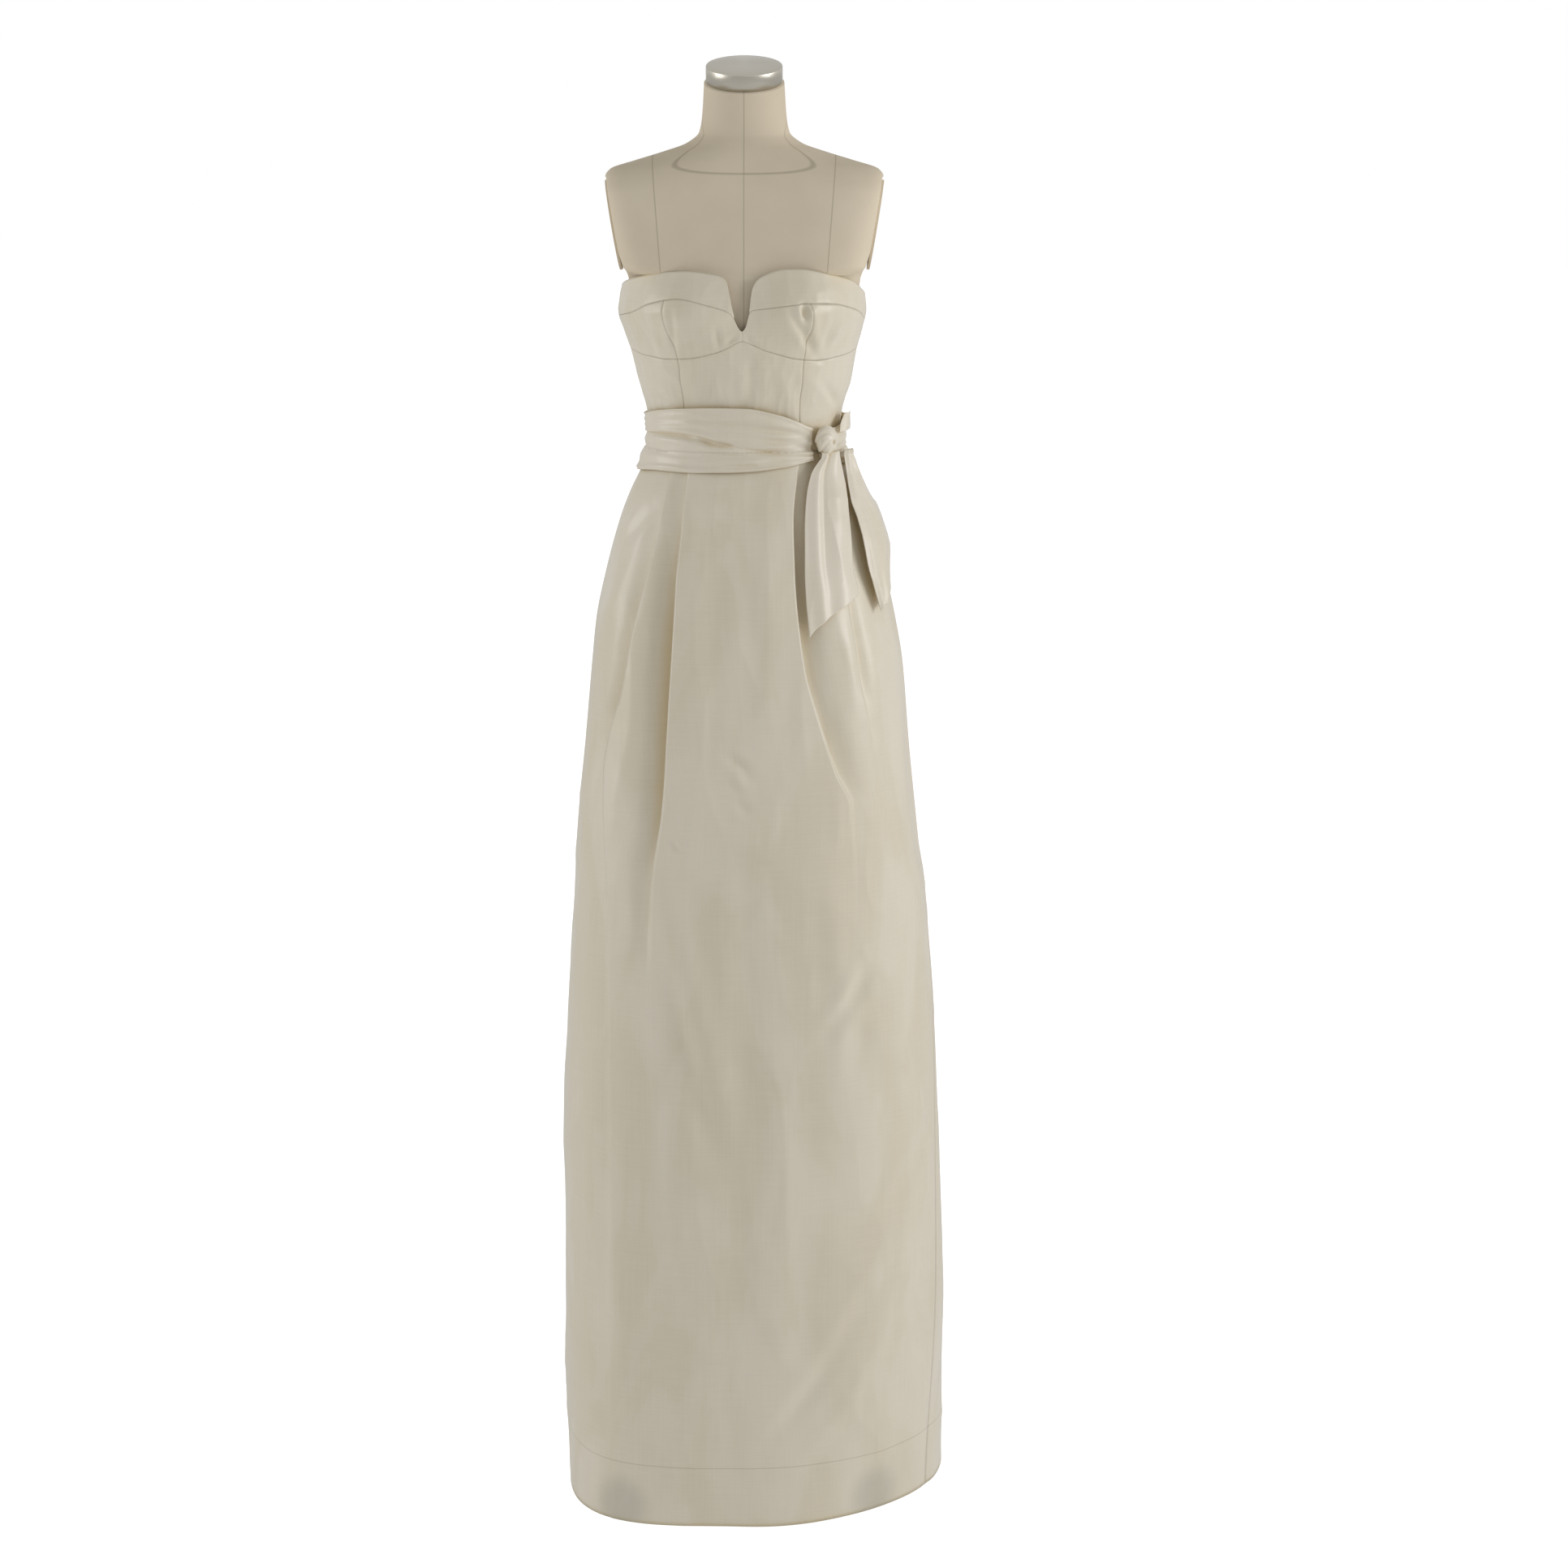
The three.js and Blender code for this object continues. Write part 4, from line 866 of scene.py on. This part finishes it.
@dataclass
class Skirt:
    """The A-line skirt: one pleated front panel and two backs."""

    material: bpy.types.Material
    wall: float = 0.9
    rows: int = 236
    back_columns: int = 90
    bay_columns: tuple = (34, 22, 70, 22, 30)      # of the mesh, between one pleat and the next
    press: float = 13.0            # how far from a seam the cloth still lies flat
    pleat_gain: float = 1.2        # pleats and creases drawn a little deeper than measured
    girth_radius: float = 190.0    # turns a turn into a distance for the crumples
    large_facet: tuple = (95.0, 230.0)
    small_facet: tuple = (34.0, 62.0)
    hem_wave: float = 1.6
    wrinkles: Wrinkles = field(default_factory=lambda: Wrinkles(5))

    def heights(self) -> np.ndarray:
        """Heights of the mesh's rows, from the waist seam to the hem."""
        return np.linspace(WAIST_Z - 0.3, HEM_Z, self.rows)[:, None]

    def front_turns(self, z: np.ndarray) -> np.ndarray:
        """Turns of the front's columns, with two close together at each pleat's fold edge.

        Args:
            z: heights of the mesh's rows.

        Returns:
            Turns, rows by columns.
        """
        edge = 1.0 / 110 / DEG
        turns = [turn_at_x(pleat.at("x", z), z) for pleat in PLEATS.values()]
        starts = [SIDE_SEAMS.at("left", z)] + [turn + edge for turn in turns]
        ends = [turn - edge for turn in turns] + [SIDE_SEAMS.at("right", z)]
        strips = [a + (b - a) * np.linspace(0, 1, steps)[None, :]
                  for a, b, steps in zip(starts, ends, self.bay_columns)]
        return np.concatenate(strips, axis=1)

    def pleats(self, turn: np.ndarray, z: np.ndarray) -> np.ndarray:
        """The front pleats' relief.

        Args:
            turn: where round the form.
            z: heights.

        Returns:
            Millimetres outwards.
        """
        radius = plain_skirt_radius(turn, z)
        total = 0
        for pleat in PLEATS.values():
            x = pleat.at("x", z)
            outward = (turn - turn_at_x(x, z)) * DEG * radius * np.sign(x)
            total = total + pleat_relief(outward, pleat.at("step", z), pleat.at("hollow", z))
        return total

    def back_pleats(self, turn: np.ndarray, z: np.ndarray) -> np.ndarray:
        """The back's shallower pleats and a few soft falls.

        Args:
            turn: where round the form.
            z: heights.

        Returns:
            Millimetres outwards.
        """
        fade = np.clip((z - 760) / 260, 0, 1) * np.clip((1258 - z) / 90, 0, 1)
        radius = plain_skirt_radius(turn, z)
        from_back = 180 - np.abs(turn)
        total = 0
        for edge, step, hollow in BACK_PLEATS:
            total = total + fade * pleat_relief((from_back - edge) * DEG * radius, step, hollow)
        falls = 2.4 * np.sin(from_back / 17 + z / 420) * np.clip((900 - z) / 500, 0, 1)
        return total + falls

    def surface(self, turn: np.ndarray, z: np.ndarray, front: bool) -> np.ndarray:
        """Distance from the axis to the finished cloth.

        Args:
            turn: where round the form.
            z: heights.
            front: whether this is the front panel.

        Returns:
            The distances, in millimetres.
        """
        radius = plain_skirt_radius(turn, z)
        across = radius * np.sin(turn * DEG)
        sewn = np.ones_like(radius)
        for seam in (SIDE_SEAMS.at("left", z), SIDE_SEAMS.at("right", z), -180.0, 180.0):
            sewn = sewn * (1 - bell((turn - seam) * DEG * radius, self.press))
        if front:
            relief = self.pleats(turn, z)
            mirrored = across
        else:
            relief = self.back_pleats(turn, z)
            mirrored = -across * 0.9 + 12
        calm = np.clip((z - HEM_Z) / 60, 0.25, 1) * np.clip((WAIST_Z - z) / 40, 0.2, 1)
        relief = relief + calm * sum(crease.relief(mirrored, z) for crease in SKIRT_CREASES)
        arc = turn * DEG * self.girth_radius
        large = self.wrinkles.crumple(arc, z, *self.large_facet)
        small = self.wrinkles.crumple(arc + 40, z, *self.small_facet)
        near_hem = np.clip((110 - z) / 110, 0, 1)
        hem = near_hem * self.hem_wave * np.sin(arc / 33 + 0.7 * np.sin(arc / 71))
        return radius + sewn * (self.pleat_gain * relief + calm * (1.6 * large + 0.6 * small) + hem)

    def panel(self, name: str, turn: np.ndarray, flat: tuple, area: float, front: bool) -> None:
        """Makes one skirt panel.

        Args:
            name: the CAD node that it stands for.
            turn: the turns of its mesh, rows by columns.
            flat: its cut, width and length in metres; not used.
            area: the cut's area in square metres; not used.
            front: whether this is the front panel.
        """
        z = np.broadcast_to(self.heights(), turn.shape)
        points = place(turn, self.surface(turn, z, front), z)
        piece = grid_piece(name + "_cloth", points, self.material, self.wall)
        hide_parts(name)

    def build(self) -> None:
        """Makes the front and the two backs."""
        z = self.heights()
        self.panel("skirt_front", self.front_turns(z), (0.70, 1.26), 0.66, True)
        across = np.linspace(0, 1, self.back_columns)[None, :]
        left = -180 + (SIDE_SEAMS.at("left", z) + 180) * across
        right = SIDE_SEAMS.at("right", z) + (180 - SIDE_SEAMS.at("right", z)) * across
        self.panel("skirt_back_left", left, (0.36, 1.26), 0.33, False)
        self.panel("skirt_back_right", right, (0.47, 1.26), 0.41, False)


def waist_radius(turn: np.ndarray, z: np.ndarray) -> np.ndarray:
    """The outside of what lies under the sash."""
    return np.where(z >= WAIST_Z, bodice_radius(turn, z), plain_skirt_radius(turn, z) + 1.5)


@dataclass(frozen=True)
class Crush:
    """A crushed fold along a wrap: its place across the wrap far from the knot and at the knot."""

    far: float
    knot: float
    height: float
    width: float


@dataclass(frozen=True)
class TailFold:
    """A fold down a tail: its place across the tail, its drift on the way down, and its size."""

    across: float
    height: float
    width: float
    drift: float = 0.0
    fades: bool = False

    def rise(self, u: np.ndarray, v: np.ndarray) -> np.ndarray:
        """How far the fold stands out at a place across (u) and down (v) the tail."""
        rise = self.height * bell(u - self.across - self.drift * v, self.width)
        return rise * (1 - v) if self.fades else rise


@dataclass
class Sash:
    """The tied sash: two crushed wraps, a knot, an ear and two tails."""

    material: bpy.types.Material
    wall: float = 1.0
    start: float = 61.0
    end: float = 410.0
    knot_turn: float = 55.5
    knot_size: tuple = (0.0152, 0.0118, 0.0165)    # half its width, depth and height, in metres
    lap: float = 3.0               # how far the lower wrap reaches up under the upper one
    lie: float = 3.2               # from the bodice to the wraps' outside, without folds
    tail_lie: float = 4.6          # from the skirt to a tail's outside, without folds and lift
    tail_top: float = 1252.0
    wrinkles: Wrinkles = field(default_factory=lambda: Wrinkles(23))

    def wrap(self, name: str, upper: SashEdge, lower: SashEdge, folds: tuple) -> None:
        """Makes one wrap, from the knot round the back to the knot again.

        Args:
            name: the CAD node that it stands for.
            upper: its top edge.
            lower: its bottom edge.
            folds: its crushed folds.
        """
        along = np.linspace(self.start, self.end, 420)[None, :]
        turn = (along + 180) % 360 - 180
        v = np.linspace(0, 1, 40)[:, None]
        lap = self.lap if upper is SashEdge.SPLIT else 0.0
        top, low = SASH.at(upper.value, turn) + lap, SASH.at(lower.value, turn)
        z = top * (1 - v) + low * v
        near = np.clip((along - 230) / (self.end - 230), 0, 1) ** 1.3
        wander = 0.05 * self.wrinkles.wave(along / 34, v * 0)
        relief = 0
        for fold in folds:
            middle = fold.far * (1 - near) + fold.knot * near + wander
            relief = relief + fold.height * bell(v - middle, fold.width)
        calm = np.clip((top - low) / 30, 0.35, 1)
        crush = 0.5 * self.wrinkles.crumple(along * 2.1, z, 58, 21)
        across = waist_radius(turn, z) * np.sin(turn * DEG)
        front = bell(np.maximum(np.abs(turn) - 68, 0), 12)
        crush = crush + front * sum(crease.relief(across, z) for crease in SASH_CREASES)
        edge = 1.2 * bell(v, 0.05) if upper is SashEdge.TOP else -1.4 * bell(v, 0.09)
        radius = waist_radius(turn, z) + self.lie + calm * relief + crush + edge
        radius = radius - 1.2 * bell(v - 1, 0.05)
        piece = grid_piece(name + "_cloth", place(turn, radius, z), self.material, self.wall)
        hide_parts(name)

    def hanging_end(self, name: str, edges: Table, top: float, ends: tuple, folds: tuple) -> None:
        """Makes a tail or the ear, lying on the skirt and moved out by its lift.

        Args:
            name: the CAD node that it stands for.
            edges: a table of height, left x, right x and lift.
            top: its upper height.
            ends: heights of its lower left and lower right corners.
            folds: its folds.
        """
        u = np.linspace(0, 1, 64)[None, :]
        v = np.linspace(0, 1, 120)[:, None]
        bottom = ends[0] + (ends[1] - ends[0]) * u ** 0.8
        z = top * (1 - v) + bottom * v
        lift = edges.at("lift", z)
        x = edges.at("left", z) * (1 - u) + edges.at("right", z) * u
        turn = turn_at_x(x, z, lift + 2.4)
        arc = turn * DEG * 150
        crush = 0.5 * self.wrinkles.crumple(arc, z, 22, 45)
        folded = sum(fold.rise(u, v) for fold in folds)
        radius = waist_radius(turn, z) + lift + self.tail_lie + folded + crush
        piece = grid_piece(name + "_cloth", place(turn, radius, z), self.material, self.wall)
        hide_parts(name)

    def knot(self) -> None:
        """Makes the knot: a tight lump of folds that wrap over each other, with a small dark eye."""
        low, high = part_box("sash_knot")
        middle = (low + high) / 2
        u = np.linspace(0, 2 * math.pi, 97)[:-1][None, :]
        v = np.linspace(0.02, math.pi - 0.02, 56)[:, None]
        swirl = u + 1.1 * np.cos(v)
        ridge = 1 + 0.055 * np.cos(5 * swirl + 0.8) + 0.03 * np.cos(11 * swirl + 2 * v)
        x = np.sin(v) * np.cos(u) * ridge
        y = np.cos(v) * np.ones_like(u) * (0.96 + 0.04 * ridge)
        z = np.sin(v) * np.sin(u) * ridge
        eye = 1 - 0.45 * np.exp(-(((x - 0.05) ** 2 + (z + 0.12) ** 2) / 0.03)) * (y > 0)
        lean = self.knot_turn * DEG
        wide, deep, tall = self.knot_size
        x, y, z = x * wide, -y * eye * deep, z * tall
        turned = np.stack([x * math.cos(lean) - y * math.sin(lean),
                           x * math.sin(lean) + y * math.cos(lean), z], axis=-1)
        points = turned + np.array(middle)
        piece = grid_piece("sash_knot_cloth", points, self.material, closed=True)
        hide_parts("sash_knot")

    def build(self) -> None:
        """Makes every stretch of the sash that shows."""
        top, split, bottom = SashEdge
        self.wrap("sash_upper_wrap", top, split,
                  (Crush(0.06, 0.05, 1.6, 0.07), Crush(0.32, 0.24, 3.2, 0.15),
                   Crush(0.64, 0.52, 2.8, 0.15), Crush(0.92, 0.82, 2.8, 0.12)))
        self.wrap("sash_lower_wrap", split, bottom,
                  (Crush(0.24, 0.34, 2.6, 0.14), Crush(0.62, 0.64, 3.2, 0.17),
                   Crush(0.94, 0.92, 2.0, 0.07)))
        self.knot()
        tail = Table("z left right lift", [
            [1047, 73, 128, 2], [1092, 69, 127.5, 2], [1127, 67.5, 121, 3], [1165, 67.5, 118.5, 4],
            [1204, 69.5, 114, 6], [1227, 74, 110, 8.5], [1246, 86, 106, 11]])
        self.hanging_end("sash_tail_front", tail, self.tail_top, (1047, 1091),
                         (TailFold(0.2, 3.4, 0.13, drift=0.1), TailFold(0.72, 4.2, 0.22),
                          TailFold(0.42, -1.5, 0.05, fades=True)))
        side = Table("z left right lift", [
            [1069, 154, 160, 2], [1091, 148, 166, 4], [1116, 141, 166, 6], [1141, 136, 166, 8],
            [1175, 127, 156, 7], [1197, 119, 143, 6], [1225, 115, 130, 8], [1246, 112, 122, 11]])
        self.hanging_end("sash_tail_side", side, self.tail_top, (1069, 1080),
                         (TailFold(0.25, 3.2, 0.16), TailFold(0.75, 3.6, 0.16, drift=-0.1)))
        ear = Table("z left right lift", [[1270, 108, 119, 8], [1281, 109, 120, 8], [1294, 113, 119, 7]])
        self.hanging_end("sash_ear", ear, 1294, (1272, 1274), (TailFold(0.5, 2.4, 0.25),))


@dataclass
class DressForm:
    """The limbless form: linen torso, steel neck cap, arm plates and a four-legged stand."""

    linen: bpy.types.Material
    steel: bpy.types.Material
    paint: bpy.types.Material
    rubber: bpy.types.Material
    neck_tilt: float = 15.5
    neck_top: float = 1668.0
    bottom: float = 842.0
    cap_radius: float = 44.0
    cap_rim: float = 20.0
    cap_dome: float = 3.0
    columns: int = 180
    arm_top: float = 1555.0        # the arm plates' flats: their top, and the height below it
    arm_height: float = 95.0
    arm_reach: tuple = (157.0, 15.5)       # from the axis at the top, and less by this at the bottom
    arm_square: float = 2.4        # how much squarer the torso is behind the plates

    def torso(self) -> bpy.types.Object:
        """Makes the torso, with flats for the arm plates, its neck cut on a tilt and its ends closed.

        Returns:
            The piece.
        """
        shoulders = np.linspace(self.neck_top, 1540, 70)
        body = np.linspace(1538, self.bottom, 170)
        z = np.concatenate([shoulders, body])[:, None]
        turn = np.linspace(-180, 180, self.columns + 1)[:-1][None, :]
        depth = np.where(np.abs(turn) <= 90, FORM.at("front", z), FORM.at("back", z))
        square = FORM.at("square", z) + self.arm_square
        squared = outline_radius(turn, FORM.at("side", z), depth, square)
        arm = np.clip((z - 1450) / 10, 0, 1) * np.clip((1590 - z) / 45, 0, 1)
        arm = arm * arm * (3 - 2 * arm)
        points = place(turn, form_radius(turn, z) * (1 - arm) + squared * arm, z)
        x = points[..., 0] / MM - AXIS_X
        plane = self.arm_reach[0] - (self.arm_top - z) * self.arm_reach[1] / self.arm_height
        inside = (z > 1450) & (z < 1562)
        x = np.where(inside, np.sign(x) * np.minimum(np.abs(x), plane), x)
        points[..., 0] = (x + AXIS_X) * MM
        tilt = np.clip((z - 1600) / (self.neck_top - 1600), 0, 1)
        points[..., 2] += tilt * points[..., 1] * math.tan(self.neck_tilt * DEG)
        caps = [points[k:k + 1].mean(axis=1, keepdims=True) * 0.98 + points[k:k + 1] * 0.02
                for k in (0, len(points) - 1)]
        points = np.concatenate([caps[0], points, caps[1]])
        piece = grid_piece("dress_form", points, self.linen, closed=True)
        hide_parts("form_torso")
        return piece

    def cap(self) -> bpy.types.Object:
        """Makes the neck cap: a turned rim with a small bevel and a slightly domed top.

        Returns:
            The piece.
        """
        r, rim = self.cap_radius, self.cap_rim
        profile = np.array([(0.5, rim + self.cap_dome), (r * 0.5, rim + self.cap_dome * 0.8),
                            (r * 0.85, rim + self.cap_dome * 0.35), (r - 2.0, rim), (r - 1.0, rim - 0.3),
                            (r - 0.3, rim - 1.0), (r, rim - 2.0), (r, 1.0), (r - 1.0, 0.0), (0.5, 0.0)])
        angle = np.linspace(0, 2 * math.pi, 129)[:-1][None, :]
        x, y = profile[:, :1] * np.cos(angle), profile[:, :1] * np.sin(angle)
        h = np.broadcast_to(profile[:, 1:], x.shape)
        lean = self.neck_tilt * DEG
        points = np.stack([x + AXIS_X, y * math.cos(lean) - h * math.sin(lean),
                           self.neck_top + 0.3 + y * math.sin(lean) + h * math.cos(lean)], axis=-1) * MM
        piece = grid_piece("neck_cap_steel", points, self.steel, closed=True)
        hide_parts("neck_cap")
        return piece

    def build(self) -> None:
        """Makes the form and gives the stand's own nodes their finishes."""
        self.torso()
        self.cap()
        for side in ("left", "right"):
            self.dress(f"arm_plate_{side}", self.linen)
        for name in ("stand_pole", "stand_hub"):
            self.dress(name, self.paint)
        for k in range(1, 5):
            self.dress(f"stand_leg_{k}", self.paint)
            self.dress(f"stand_foot_{k}", self.rubber)

    def dress(self, name: str, finish: bpy.types.Material) -> None:
        """Gives a node of the frame its finish.

        Args:
            name: the node.
            finish: its material.
        """
        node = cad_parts[name]
        node.data.materials.clear()
        node.data.materials.append(finish)
        log.info("%s: kept, in %s", name, finish.name)


# ------------------------------------------------------------------ the studio
@dataclass
class Studio:
    """A white studio: pale floor, bright surround, a soft light at each side and a black card."""

    camera_place: tuple = (0.03525, -4.0, 1.65)
    pitch_down: float = 11.3288
    lens: float = 78.5746

    def camera(self) -> None:
        """Makes the camera, level and looking along +Y."""
        data = bpy.data.cameras.new("camera")
        data.lens = self.lens
        data.sensor_width = 36
        camera = bpy.data.objects.new("camera", data)
        camera.location = self.camera_place
        camera.rotation_euler = (math.radians(90 - self.pitch_down), 0, 0)
        bpy.context.scene.collection.objects.link(camera)
        bpy.context.scene.camera = camera

    def floor(self) -> None:
        """Makes the floor of white seamless paper, which glows so that it meets the surround."""
        material, tree, shader, _ = new_material("white_seamless_paper")
        path = add(tree, "ShaderNodeLightPath")
        seen = add(tree, "ShaderNodeMapRange", values={3: 0.34, 4: 1.0},
                   links={0: path.outputs["Is Camera Ray"]})
        tree.links.new(seen.outputs[0], shader.inputs["Emission Strength"])
        shader.inputs["Base Color"].default_value = linear("BCBCBC")
        shader.inputs["Roughness"].default_value = 1.0
        shader.inputs["Specular IOR Level"].default_value = 0.0
        shader.inputs["Emission Color"].default_value = (1, 1, 1, 1)
        mesh = bpy.data.meshes.new("floor")
        mesh.from_pydata([(-30, -30, 0), (30, -30, 0), (30, 30, 0), (-30, 30, 0)], [], [(0, 1, 2, 3)])
        mesh.materials.append(material)
        floor = bpy.data.objects.new("floor", mesh)
        bpy.context.scene.collection.objects.link(floor)

    def flag(self) -> None:
        """Makes a black card beside the camera, which darkens a part of what the steel mirrors."""
        mesh = bpy.data.meshes.new("black_card")
        mesh.from_pydata([(-1.45, -4.2, 0.9), (-1.0, -4.3, 0.9), (-1.0, -4.3, 2.6), (-1.45, -4.2, 2.6)],
                         [], [(0, 1, 2, 3)])
        mesh.materials.append(PlainSurface("black_card", "0C0C0C", 0.9).build())
        card = bpy.data.objects.new("black_card", mesh)
        bpy.context.scene.collection.objects.link(card)

    def light(self, name: str, where: tuple, aim: tuple, size: float, power: float, colour: str) -> None:
        """Makes one soft box.

        Args:
            name: its name.
            where: where it stands.
            aim: the point that it faces.
            size: its width in metres.
            power: in watts.
            colour: an sRGB hex colour.
        """
        data = bpy.data.lights.new(name, "AREA")
        data.shape = "SQUARE"
        data.size = size
        data.energy = power
        data.color = linear(colour)[:3]
        lamp = bpy.data.objects.new(name, data)
        lamp.location = where
        lamp.rotation_euler = (Vector(aim) - Vector(where)).to_track_quat("-Z", "Y").to_euler()
        bpy.context.scene.collection.objects.link(lamp)

    def surround(self) -> None:
        """Makes the surround: white to the eye, and dimmer as a light."""
        world = bpy.data.worlds.new("surround")
        bpy.context.scene.world = world
        world.use_nodes = True
        tree = world.node_tree
        back = tree.nodes["Background"]
        path = add(tree, "ShaderNodeLightPath")
        shiny = add(tree, "ShaderNodeMath", {"operation": "MULTIPLY_ADD"}, {1: 0.30, 2: 0.38},
                    {0: path.outputs["Is Glossy Ray"]})
        seen = add(tree, "ShaderNodeMath", {"operation": "MULTIPLY_ADD"}, {1: 0.62},
                   {0: path.outputs["Is Camera Ray"], 2: shiny.outputs[0]})
        tree.links.new(seen.outputs[0], back.inputs["Strength"])
        back.inputs["Color"].default_value = (1, 1, 1, 1)

    def build(self) -> None:
        """Makes the whole studio."""
        self.camera()
        self.surround()
        self.floor()
        self.light("side_right", (2.5, -0.9, 1.8), (0, 0, 0.9), 1.2, 27, "FFFFFF")
        self.light("side_left", (-2.5, -0.5, 1.6), (0, 0, 0.9), 1.2, 15, "FFFFFF")
        self.flag()
        view = bpy.context.scene.view_settings
        view.view_transform = "Standard"
        view.look = "None"


def main() -> None:
    """Builds the form, the gown and the studio in order."""
    logging.basicConfig(level=logging.INFO, format="%(name)s: %(message)s")
    # centres of the painted shade spots for the feet
    feet = ((-0.157, -0.207, 0.024), (0.144, -0.175, 0.024))     # on the skirt, before the front feet
    taffeta = SilkTaffeta("woven_silk_taffeta", "E7DDC7", "E1D7C0", feet=feet).build()
    crushed = SilkTaffeta("crushed_silk_taffeta", "E9DFCB", "E3D9C4", roughness=0.36).build()
    form = DressForm(SewnLinen().build(), BrushedSteel().build(),
                     PlainSurface("painted_steel", "565A57", 0.45).build(),
                     PlainSurface("moulded_rubber", "2E2F2E", 0.8).build())
    form.build()
    Bodice(taffeta).build()
    Skirt(taffeta).build()
    Sash(crushed).build()
    Studio().build()


if __name__ == "__main__":
    main()
